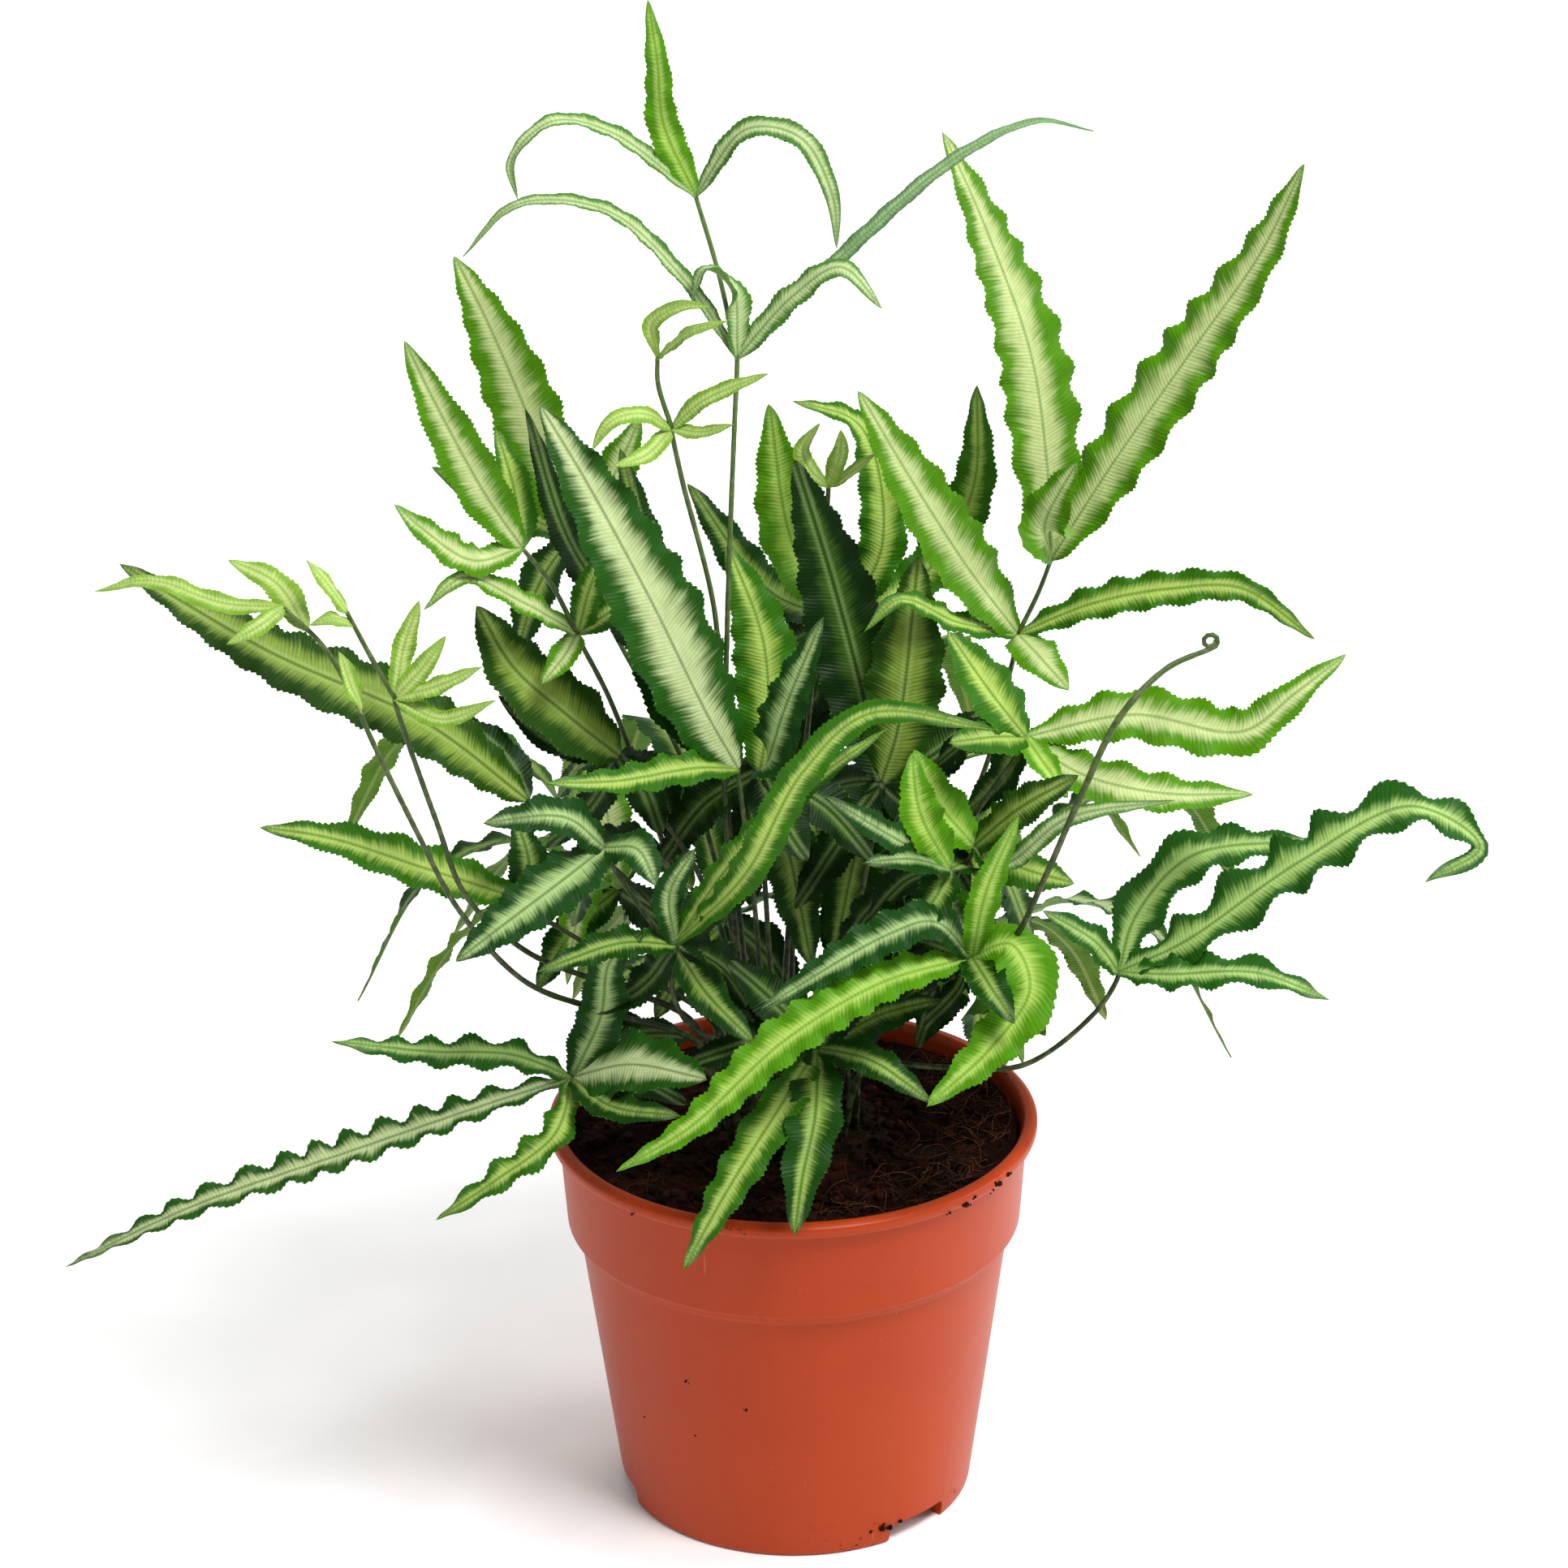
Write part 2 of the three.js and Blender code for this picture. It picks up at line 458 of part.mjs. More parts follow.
// The soil fills the pot from its floor and has a shallow dish for the crown.
function makeSoil() {
  const floor = FLOOR_UNDERSIDE_Z + WALL + GAP;
  const collarHeight = POT_HEIGHT - LIP.innerDrop - COLLAR_BASE_Z;
  const collarSlope = (COLLAR_TOP_RADIUS - COLLAR_BASE_RADIUS) / collarHeight;
  const edgeRadius = COLLAR_BASE_RADIUS - WALL + (SOIL_EDGE_Z - COLLAR_BASE_Z) * collarSlope - 2 * GAP;
  const profile = [
    [0, floor],
    [BASE_RADIUS - WALL - 2 * GAP - SOIL_FLOOR_BEVEL[0], floor],
    [BASE_RADIUS - WALL - 2 * GAP, floor + SOIL_FLOOR_BEVEL[1]],
    [SHOULDER_RADIUS - WALL - 2 * GAP, SHOULDER_Z - SOIL_STEP.shoulderDrop],
    [COLLAR_BASE_RADIUS - WALL - 2 * GAP, COLLAR_BASE_Z + SOIL_STEP.collarRise],
    [edgeRadius, SOIL_EDGE_Z],
    [CROWN_RADIUS + SOIL_LEVEL_WIDTH, SOIL_TOP_Z],
    [CROWN_RADIUS + GAP, SOIL_TOP_Z],
    [CROWN_RADIUS - CROWN_TAPER.dish, CROWN_BOTTOM_Z - GAP],
    [0, CROWN_BOTTOM_Z - GAP],
  ];
  addNode("soil", lathe(profile, POT_SEGMENTS), pottingMix);
}

function makeCrown() {
  const profile = [
    [0, CROWN_BOTTOM_Z],
    [CROWN_RADIUS - CROWN_TAPER.bottom, CROWN_BOTTOM_Z],
    [CROWN_RADIUS - CROWN_TAPER.soil, SOIL_TOP_Z],
    [CROWN_RADIUS - CROWN_TAPER.shoulder, CROWN_TOP_Z - CROWN_SHOULDER_DROP],
    [CROWN_RADIUS - CROWN_TAPER.top, CROWN_TOP_Z],
    [0, CROWN_TOP_Z],
  ];
  addNode("rhizome_crown", lathe(profile, CROWN_SEGMENTS), crownFibre);
}

// Lengths between sections along a curve: two more than between the points that shape it.
const stationsFor = (points) => points.length + 1;

function tube(points, radius, steps = stationsFor(points)) {
  const section = new THREE.Shape();
  for (let i = 0; i < STIPE_SIDES; i++) {
    const angle = (i * 2 * Math.PI) / STIPE_SIDES;
    section[i ? "lineTo" : "moveTo"](radius * Math.cos(angle), radius * Math.sin(angle));
  }
  return new THREE.ExtrudeGeometry(section, {
    steps,
    bevelEnabled: false,
    extrudePath: curveThrough(points),
  });
}

// Share of the full width at distance t along a leaflet, from its stalk (0) to its tip (1).
const widthShare = (t) => Math.sin(Math.PI * t ** 0.75) ** 0.7;

// A thin leaf blade: a flat upper face, a keel under the midrib, and one point at the tip.
function leafletGeometry([width, roll, twist, points, facing = FACING], extra) {
  const midrib = curveThrough(points);
  const stations = stationsFor(points);
  const corners = [];
  for (let i = 0; i < stations; i++) {
    const t = i / stations;
    const along = midrib.getTangentAt(t);
    const centre = midrib.getPointAt(t);
    const up = facing.clone().addScaledVector(along, -facing.dot(along)).normalize();
    up.applyAxisAngle(along, radians(roll + twist * t));
    const side = new THREE.Vector3().crossVectors(along, up);
    const half = Math.max(width * widthShare(t), LEAF_STALK_WIDTH) / 2 + extra;
    const face = LEAF_THICKNESS / 2 + extra;
    corners.push(centre.clone().addScaledVector(side, half).addScaledVector(up, face));
    corners.push(centre.clone().addScaledVector(side, -half).addScaledVector(up, face));
    corners.push(centre.clone().addScaledVector(up, -face));
  }
  corners.push(midrib.getPointAt(1).addScaledVector(midrib.getTangentAt(1), TIP_CLEARANCE * extra));
  return ribbon(corners, stations);
}

// The skin over three-cornered sections that end in one point.
function ribbon(corners, stations) {
  const faces = [[0, 1, 2]];
  for (let i = 0; i < stations - 1; i++) {
    for (let k = 0; k < 3; k++) {
      const a = 3 * i + k;
      const b = 3 * i + ((k + 1) % 3);
      faces.push([a, a + 3, b]);
      faces.push([b, a + 3, b + 3]);
    }
  }
  const last = 3 * (stations - 1);
  for (let k = 0; k < 3; k++) faces.push([last + k, corners.length - 1, last + ((k + 1) % 3)]);
  const geometry = new THREE.BufferGeometry().setFromPoints(corners);
  geometry.setIndex(faces.flat());
  return geometry;
}

function leafletPoints(node, heading, [turn, length, rise, droop, width]) {
  const angle = radians(heading + turn);
  const points = BACK_LEAFLET.shares.map((t) => {
    const out = length * t * (1 - BACK_LEAFLET.shortening * t);
    const up = rise * Math.sin(t * BACK_LEAFLET.riseAngle) - droop * t * t;
    return [node[0] + out * Math.cos(angle), node[1] + out * Math.sin(angle), node[2] + up];
  });
  return [width, 0, 0, points, BACK_FACING];
}

function backFrond([heading, reach, height, foot]) {
  const out = [Math.cos(radians(heading)), Math.sin(radians(heading))];
  const at = (share, z) => [
    foot[0] + share * (reach * out[0] - foot[0]),
    foot[1] + share * (reach * out[1] - foot[1]),
    z,
  ];
  const node = at(1, height);
  const lift = height - STEM_FOOT_Z;
  return {
    stem: [
      ...BACK_STEM.bends.map(([share, raised]) => at(share, STEM_FOOT_Z + raised * lift)),
      at(BACK_STEM.endShare, height - BACK_STEM.endDrop),
    ],
    leaflets: backLeaflets.map((leaflet) => leafletPoints(node, heading, leaflet)),
  };
}

const largestBody = (body) => body.decompose().reduce((a, b) => (b.volume() > a.volume() ? b : a));
// Joins and cuts leave slivers, and edges this short are closed up again.
const SHORTEST_EDGE = 0.02;

function bladeParts(frond, extra) {
  const node = vector(frond.leaflets[0][3][0]);
  const stem = curveThrough(frond.stem);
  const start = frond.rachis ?? [stem.getPointAt(1).lerp(node, RACHIS_START).toArray(), node.toArray()];
  return [
    solid(tube(start, RACHIS_RADIUS + extra, RACHIS_STEPS)),
    ...frond.leaflets.map((leaflet) => solid(leafletGeometry(leaflet, extra))),
  ];
}

const joined = (parts) => parts.reduce((a, b) => a.add(b));

// Where two fronds meet, the later one is notched round the earlier one.
function makeFronds() {
  const all = [...fronds, ...backFronds.map(backFrond)];
  const label = (i) => "frond_" + String(i + 1).padStart(2, "0");
  all.forEach((frond, i) => addNode(label(i) + "_stipe", tube(frond.stem, STIPE_RADIUS), stemGreen));
  const stemRooms = all.map((frond) => solid(tube(frond.stem, STIPE_RADIUS + CLEARANCE)));
  const crozierRoom = solid(crozierTube(CROZIER.radius + CLEARANCE));
  const bladeRooms = [];
  all.forEach((frond, i) => {
    const whole = joined(bladeParts(frond, 0));
    const rooms = [...bladeRooms, ...stemRooms, crozierRoom];
    const kept = rooms.reduce((blade, room) => blade.subtract(room), whole);
    const blade = largestBody(kept).simplify(SHORTEST_EDGE);
    bladeRooms.push(joined(bladeParts(frond, CLEARANCE)));
    addNode(label(i) + "_blade", geometryOf(blade), leafGreen);
  });
}

// The last young frond is still rolled up at the end of its long stem.
function crozierTube(radius) {
  const end = vector(crozierPath.at(-1));
  const coil = [];
  for (let i = 1; i <= CROZIER.coilPoints; i++) {
    const share = i / CROZIER.coilPoints;
    const angle = share * CROZIER.turns * 2 * Math.PI;
    const r = CROZIER.coilRadius * (1 - CROZIER.tightening * share);
    coil.push([end.x + r * Math.sin(angle), end.y, end.z + CROZIER.coilRadius - r * Math.cos(angle)]);
  }
  return tube([...crozierPath, ...coil], radius, CROZIER.steps);
}

makePot();
makeSoil();
makeCrown();
makeFronds();
addNode("crozier", crozierTube(CROZIER.radius), stemGreen);

export default group;
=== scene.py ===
"""A potted silver-banded brake fern: nursery pot, potting mix, crown, stems and ribbon-like leaflets."""

import math

import bmesh
import bpy
import numpy as np
from mathutils import Matrix, Vector


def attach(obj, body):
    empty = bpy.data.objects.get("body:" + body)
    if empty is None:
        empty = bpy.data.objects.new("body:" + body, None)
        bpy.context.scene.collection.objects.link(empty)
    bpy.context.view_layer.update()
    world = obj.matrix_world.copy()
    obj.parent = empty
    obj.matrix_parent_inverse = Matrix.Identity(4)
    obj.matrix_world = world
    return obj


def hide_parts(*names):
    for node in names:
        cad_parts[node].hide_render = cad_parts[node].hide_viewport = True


MM = 0.001
SEED = 20

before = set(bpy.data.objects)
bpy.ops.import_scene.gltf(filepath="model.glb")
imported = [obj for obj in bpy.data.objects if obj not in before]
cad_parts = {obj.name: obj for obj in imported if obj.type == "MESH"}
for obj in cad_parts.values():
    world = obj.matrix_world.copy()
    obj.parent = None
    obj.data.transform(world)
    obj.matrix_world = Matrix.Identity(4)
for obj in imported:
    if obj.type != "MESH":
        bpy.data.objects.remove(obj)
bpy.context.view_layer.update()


# ---------------------------------------------------------------- camera
CAMERA_PLACE = (-0.0013, -1.1931, 0.7039)
CAMERA_TARGET = (-0.0013, 0.0, 0.1876)
CAMERA_LENS = 124.96
CAMERA_ROLL = -0.62


def make_camera():
    data = bpy.data.cameras.new("camera")
    data.lens = CAMERA_LENS
    data.sensor_width = 36.0
    data.clip_start = 0.05
    camera = bpy.data.objects.new("camera", data)
    bpy.context.scene.collection.objects.link(camera)
    camera.location = CAMERA_PLACE
    look = Vector(CAMERA_TARGET) - Vector(CAMERA_PLACE)
    turn = look.to_track_quat("-Z", "Y").to_matrix().to_4x4()
    roll = Matrix.Rotation(math.radians(CAMERA_ROLL), 4, "Z")
    camera.matrix_world = Matrix.Translation(CAMERA_PLACE) @ turn @ roll
    bpy.context.scene.camera = camera


make_camera()


# ---------------------------------------------------------------- colours and node helpers
def linear(rgb):
    out = []
    for value in rgb:
        c = value / 255
        out.append(c / 12.92 if c <= 0.04045 else ((c + 0.055) / 1.055) ** 2.4)
    return tuple(out)


class Graph:
    """A material's node tree, with short calls for the nodes that are used most."""

    def __init__(self, name):
        self.material = bpy.data.materials.new(name)
        self.material.use_nodes = True
        self.tree = self.material.node_tree
        self.tree.nodes.clear()
        self.shader = self.tree.nodes.new("ShaderNodeBsdfPrincipled")
        output = self.tree.nodes.new("ShaderNodeOutputMaterial")
        self.tree.links.new(self.shader.outputs[0], output.inputs["Surface"])

    def node(self, kind, inputs=(), **settings):
        made = self.tree.nodes.new("ShaderNode" + kind)
        for key, value in settings.items():
            setattr(made, key, value)
        for key, value in dict(inputs).items():
            self.put(made.inputs[key], value)
        return made

    def put(self, socket, value):
        if isinstance(value, bpy.types.NodeSocket):
            self.tree.links.new(value, socket)
        else:
            socket.default_value = value

    def math(self, operation, *values):
        made = self.tree.nodes.new("ShaderNodeMath")
        made.operation = operation
        for i, value in enumerate(values):
            self.put(made.inputs[i], value)
        return made.outputs[0]

    def times(self, a, b):
        return self.math("MULTIPLY", a, b)

    def plus(self, a, b):
        return self.math("ADD", a, b)

    def smooth(self, value, low, high, start=0.0, end=1.0):
        made = self.node(
            "MapRange",
            {"Value": value, "From Min": low, "From Max": high, "To Min": start, "To Max": end},
            interpolation_type="SMOOTHSTEP",
        )
        return made.outputs["Result"]

    def mix(self, factor, a, b, blend="MIX"):
        made = self.node("Mix", data_type="RGBA", blend_type=blend)
        self.put(made.inputs[0], factor)
        self.put(made.inputs[6], a)
        self.put(made.inputs[7], b)
        return made.outputs[2]

    def vector(self, x, y, z):
        return self.node("CombineXYZ", {"X": x, "Y": y, "Z": z}).outputs[0]

    def noise(self, vector, scale, detail=2.0, roughness=0.5):
        inputs = {"Vector": vector, "Scale": scale, "Detail": detail, "Roughness": roughness}
        return self.node("TexNoise", inputs).outputs["Fac"]

    def position(self):
        return self.node("TexCoord").outputs["Object"]

    def bump(self, height, distance, strength):
        return self.node("Bump", {"Height": height, "Distance": distance, "Strength": strength}).outputs[0]

    def finish(self, **sockets):
        for key, value in sockets.items():
            self.put(self.shader.inputs[key.replace("_", " ")], value)
        return self.material


def rgba(rgb):
    return (*linear(rgb), 1.0)


# ---------------------------------------------------------------- materials
VEIN_SPACING = 0.95
VEIN_LEAN = 0.4


def leaf_upper():
    """Green margin, feathered silver band along the midrib, fine cross veins."""
    g = Graph("leaf_upper")
    where = g.node("Attribute", attribute_name="leaf")
    split = g.node("SeparateXYZ", {0: where.outputs["Vector"]})
    across, along, half = split.outputs[0], split.outputs[1], split.outputs[2]
    margin = g.node("Attribute", attribute_name="margin")
    band = g.node("Attribute", attribute_name="band")
    seed = g.times(band.outputs["Alpha"], 40.0)
    out = g.math("ABSOLUTE", across)
    distance = g.times(out, half)
    wander = g.noise(g.vector(g.times(along, 0.35), across, seed), 1.0, 1.0)
    vein_at = g.math("SUBTRACT", along, g.times(distance, VEIN_LEAN))
    vein_at = g.plus(vein_at, g.times(wander, 0.9))
    turn = g.times(vein_at, 2 * math.pi / VEIN_SPACING)
    vein = g.math("SINE", turn)
    streak = g.noise(g.vector(vein_at, g.times(across, 0.5), seed), 1.0, 3.0, 0.6)
    patch = g.noise(g.vector(g.times(along, 0.09), g.times(across, 0.8), seed), 1.0, 2.0)
    reach = g.plus(out, g.times(g.math("SUBTRACT", streak, 0.5), 0.62))
    reach = g.plus(reach, g.times(g.math("SUBTRACT", patch, 0.5), 0.7))
    reach = g.plus(reach, g.times(vein, 0.035))
    share = margin.outputs["Alpha"]
    green = g.smooth(reach, g.math("SUBTRACT", share, 0.26), g.plus(share, 0.28))
    colour = g.mix(green, band.outputs["Color"], margin.outputs["Color"])
    lines = g.smooth(vein, 0.35, 1.0)
    dark = g.mix(0.5, margin.outputs["Color"], (0.01, 0.03, 0.0, 1.0))
    colour = g.mix(g.times(lines, 0.15), colour, dark)
    rim = g.smooth(out, 0.86, 1.0, 0.0, 0.22)
    colour = g.mix(rim, colour, margin.outputs["Color"])
    midrib = g.smooth(distance, 0.16, 0.46, 1.0, 0.0)
    colour = g.mix(g.times(midrib, 0.5), colour, margin.outputs["Color"])
    beside = g.times(g.smooth(distance, 0.3, 0.7), g.smooth(distance, 0.9, 1.8, 1.0, 0.0))
    colour = g.mix(g.times(beside, 0.12), colour, (0.7, 0.8, 0.45, 1.0))
    tint_at = g.vector(g.times(along, 0.3), g.times(distance, 0.5), seed)
    tint = g.noise(tint_at, 1.0, 4.0, 0.65)
    shade = g.mix(g.smooth(tint, 0.3, 0.7), (0.6, 0.66, 0.5, 1.0), (1.0, 1.0, 1.0, 1.0))
    colour = g.mix(0.35, colour, shade, "MULTIPLY")
    height = g.plus(g.times(vein, 0.5), g.times(midrib, -1.6))
    height = g.plus(height, g.times(tint, 0.8))
    rough = g.smooth(tint, 0.3, 0.7, 0.42, 0.56)
    return g.finish(
        Base_Color=colour, Roughness=rough, Specular_IOR_Level=0.12, Normal=g.bump(height, 0.00012, 0.55)
    )


def leaf_under():
    """The plain paler underside, with raised veins."""
    g = Graph("leaf_under")
    where = g.node("Attribute", attribute_name="leaf")
    split = g.node("SeparateXYZ", {0: where.outputs["Vector"]})
    across, along, half = split.outputs[0], split.outputs[1], split.outputs[2]
    margin = g.node("Attribute", attribute_name="margin")
    band = g.node("Attribute", attribute_name="band")
    distance = g.times(g.math("ABSOLUTE", across), half)
    vein_at = g.math("SUBTRACT", along, g.times(distance, VEIN_LEAN))
    vein = g.math("SINE", g.times(vein_at, 2 * math.pi / VEIN_SPACING))
    patch = g.noise(g.vector(g.times(along, 0.2), across, band.outputs["Alpha"]), 1.0, 3.0)
    share = g.smooth(patch, 0.3, 0.7, 0.25, 0.5)
    colour = g.mix(share, margin.outputs["Color"], band.outputs["Color"])
    colour = g.mix(0.4, colour, rgba((96, 156, 46)))
    colour = g.mix(g.smooth(vein, 0.2, 1.0, 0.0, 0.14), colour, rgba((60, 92, 34)))
    midrib = g.smooth(distance, 0.3, 0.8, 0.6, 0.0)
    colour = g.mix(midrib, colour, rgba((168, 186, 116)))
    height = g.plus(g.times(vein, 0.6), g.times(patch, 0.6))
    return g.finish(
        Base_Color=colour, Roughness=0.62, Specular_IOR_Level=0.1, Normal=g.bump(height, 0.00012, 0.8)
    )


def stem_skin():
    """Wiry stems: green above, nearly black below, with long streaks."""
    g = Graph("stem_skin")
    tone = g.node("Attribute", attribute_name="margin")
    place = g.node("Mapping", {"Vector": g.position(), "Scale": (1.0, 1.0, 0.12)}).outputs[0]
    streak = g.noise(place, 1900.0, 3.0, 0.6)
    spots = g.noise(g.position(), 420.0, 2.0)
    colour = g.mix(g.smooth(streak, 0.35, 0.7, 0.0, 0.45), tone.outputs["Color"], rgba((34, 40, 20)))
    colour = g.mix(g.smooth(spots, 0.45, 0.65, 0.0, 0.25), colour, rgba((128, 132, 84)))
    return g.finish(
        Base_Color=colour, Roughness=0.42, Specular_IOR_Level=0.25, Normal=g.bump(streak, 0.00015, 0.6)
    )


def pot_plastic():
    """Moulded terracotta plastic: flow marks, fine scratches, and soil dust in the seams."""
    g = Graph("pot_plastic")
    where = g.position()
    height = g.node("SeparateXYZ", {0: where}).outputs[2]
    cloud = g.noise(where, 14.0, 3.0, 0.55)
    colour = g.mix(g.smooth(cloud, 0.3, 0.7), rgba((164, 52, 8)), rgba((172, 60, 12)))
    fine = g.noise(where, 900.0, 2.0, 0.6)
    colour = g.mix(g.smooth(fine, 0.4, 0.7, 0.0, 0.1), colour, rgba((184, 72, 30)))
    slant = {"Vector": where, "Rotation": (0.5, 0.3, 0.0), "Scale": (1.0, 1.0, 0.04)}
    stretched = g.node("Mapping", slant).outputs[0]
    scratch = g.smooth(g.noise(stretched, 620.0, 2.0, 0.7), 0.72, 0.77)
    colour = g.mix(g.times(scratch, 0.2), colour, rgba((220, 140, 104)))
    low = g.smooth(height, 0.0, 0.012, 1.0, 0.0)
    seam = g.times(g.smooth(height, 0.0695, 0.0718), g.smooth(height, 0.0728, 0.0745, 1.0, 0.0))
    top = g.smooth(height, 0.0945, 0.0995)
    dusty = g.math("MAXIMUM", low, g.times(seam, 0.7))
    dusty = g.math("MAXIMUM", dusty, g.times(top, 0.8))
    grains = g.noise(where, 520.0, 3.0, 0.7)
    clumps = g.noise(where, 60.0, 2.0, 0.5)
    dust = g.times(g.smooth(grains, 0.58, 0.68), g.smooth(clumps, 0.48, 0.62))
    strays = g.times(g.smooth(grains, 0.735, 0.76), g.smooth(clumps, 0.5, 0.6, 0.0, 0.8))
    dust = g.math("MAXIMUM", g.times(dust, dusty), strays)
    colour = g.mix(dust, colour, rgba((40, 22, 14)))
    rough = g.plus(g.smooth(cloud, 0.3, 0.7, 0.36, 0.44), g.times(dust, 0.4))
    rough = g.plus(rough, g.times(scratch, 0.12))
    lumps = g.noise(where, 55.0, 2.0)
    relief = g.plus(g.times(fine, 0.12), g.times(lumps, 0.9))
    relief = g.math("SUBTRACT", relief, g.times(scratch, 0.25))
    relief = g.plus(relief, g.times(dust, 1.2))
    return g.finish(
        Base_Color=colour, Roughness=rough, Specular_IOR_Level=0.2, Normal=g.bump(relief, 0.00018, 0.7)
    )


def potting_mix(name, dark, mid, warm):
    """Peat, bark or fibre: a per-piece tone with grain."""
    g = Graph(name)
    where = g.position()
    tone = g.node("Attribute", attribute_name="tone")
    grain = g.noise(where, 900.0, 4.0, 0.7)
    clod = g.noise(where, 120.0, 3.0, 0.6)
    colour = g.mix(g.smooth(tone.outputs["Fac"], 0.0, 1.0), rgba(dark), rgba(mid))
    colour = g.mix(g.smooth(clod, 0.5, 0.72, 0.0, 0.6), colour, rgba(warm))
    colour = g.mix(g.smooth(grain, 0.35, 0.75, 0.55, 0.0), colour, rgba((8, 4, 2)))
    relief = g.plus(grain, clod)
    return g.finish(
        Base_Color=colour, Roughness=0.92, Specular_IOR_Level=0.1, Normal=g.bump(relief, 0.0008, 0.9)
    )


def studio_floor():
    g = Graph("studio_floor")
    grain = g.noise(g.position(), 40.0, 2.0)
    colour = g.mix(g.smooth(grain, 0.3, 0.7), rgba((250, 250, 250)), rgba((253, 253, 253)))
    return g.finish(Base_Color=colour, Roughness=0.9, Specular_IOR_Level=0.1)


LEAF_UPPER = leaf_upper()
LEAF_UNDER = leaf_under()
STEM_SKIN = stem_skin()
POT_PLASTIC = pot_plastic()
SOIL_MIX = potting_mix("soil_mix", (26, 8, 4), (68, 28, 16), (96, 42, 22))
FIBRE_MIX = potting_mix("fibre_mix", (48, 24, 13), (128, 80, 50), (88, 50, 30))
CROWN_MIX = potting_mix("crown_mix", (26, 17, 9), (66, 46, 26), (92, 62, 34))
FLOOR_WHITE = studio_floor()


# ---------------------------------------------------------------- meshes
def new_object(name, verts, faces, materials, face_materials=None, attributes=(), sharp=None):
    """A mesh in metres from millimetre vertices, with one material index a face."""
    mesh = bpy.data.meshes.new(name)
    mesh.from_pydata((np.asarray(verts, float) * MM).tolist(), [], faces)
    for material in materials:
        mesh.materials.append(material)
    if face_materials is not None:
        mesh.polygons.foreach_set("material_index", np.asarray(face_materials, np.int32))
    for key, kind, values in attributes:
        layer = mesh.attributes.new(key, kind, "POINT")
        field = {"FLOAT_COLOR": "color", "FLOAT_VECTOR": "vector", "FLOAT": "value"}[kind]
        layer.data.foreach_set(field, np.asarray(values, np.float32).ravel())
    mesh.polygons.foreach_set("use_smooth", np.ones(len(mesh.polygons), bool))
    if sharp is not None:
        ends = np.zeros(len(mesh.edges) * 2, np.int32)
        mesh.edges.foreach_get("vertices", ends)
        ends = ends.reshape(-1, 2)
        flags = sharp[ends[:, 0]] & sharp[ends[:, 1]]
        mesh.edges.foreach_set("use_edge_sharp", flags)
    mesh.update()
    made = bpy.data.objects.new(name, mesh)
    bpy.context.scene.collection.objects.link(made)
    return made


def finish_piece(piece, slot, *nodes):
    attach(piece, "root")
    if nodes:
        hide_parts(*nodes)
    return piece


def curve(points, steps=24):
    """Points of a centripetal Catmull-Rom curve, and the length along it to each."""
    p = np.array(points, float)
    p = np.vstack([2 * p[0] - p[1], p, 2 * p[-1] - p[-2]])
    s = np.linspace(0, 1, steps, endpoint=False)[:, None]
    out = []
    for a, b, c, d in zip(p, p[1:], p[2:], p[3:]):
        u, v, w = (max(np.linalg.norm(y - x) ** 0.5, 1e-4) for x, y in ((a, b), (b, c), (c, d)))
        start = ((b - a) / u - (c - a) / (u + v) + (c - b) / v) * v
        end = ((c - b) / v - (d - b) / (v + w) + (d - c) / w) * v
        square = -3 * b + 3 * c - 2 * start - end
        cube = 2 * b - 2 * c + start + end
        out.append(b + start * s + square * s**2 + cube * s**3)
    out.append(p[-2][None, :])
    path = np.vstack(out)
    lengths = np.concatenate([[0], np.cumsum(np.linalg.norm(np.diff(path, axis=0), axis=1))])
    return path, lengths


def along_curve(path, lengths, t):
    """Places and unit directions at shares t of the curve's length."""
    want = np.asarray(t) * lengths[-1]
    place = np.stack([np.interp(want, lengths, path[:, k]) for k in range(3)], axis=1)
    reach = 0.01 * lengths[-1]
    ahead = np.stack([np.interp(want + reach, lengths, path[:, k]) for k in range(3)], axis=1)
    behind = np.stack([np.interp(want - reach, lengths, path[:, k]) for k in range(3)], axis=1)
    direction = ahead - behind
    return place, direction / np.linalg.norm(direction, axis=1)[:, None]


class Build:
    """Collects vertices, faces and attributes of one piece."""

    def __init__(self):
        self.verts, self.faces, self.face_materials = [], [], []
        self.leaf, self.margin, self.band, self.edge = [], [], [], []
        self.count = 0

    def add(self, verts, faces, materials, leaf, margin, band, edge):
        self.faces += [[k + self.count for k in face] for face in faces]
        self.face_materials += materials
        n = len(verts)
        self.verts.append(verts)
        self.leaf.append(np.broadcast_to(leaf, (n, 3)))
        self.margin.append(np.broadcast_to(margin, (n, 4)))
        self.band.append(np.broadcast_to(band, (n, 4)))
        self.edge.append(np.broadcast_to(edge, (n,)))
        self.count += n

    def object(self, name):
        attributes = [
            ("leaf", "FLOAT_VECTOR", np.vstack(self.leaf)),
            ("margin", "FLOAT_COLOR", np.vstack(self.margin)),
            ("band", "FLOAT_COLOR", np.vstack(self.band)),
        ]
        return new_object(
            name,
            np.vstack(self.verts),
            self.faces,
            [LEAF_UPPER, LEAF_UNDER, STEM_SKIN],
            self.face_materials,
            attributes,
            np.concatenate(self.edge),
        )


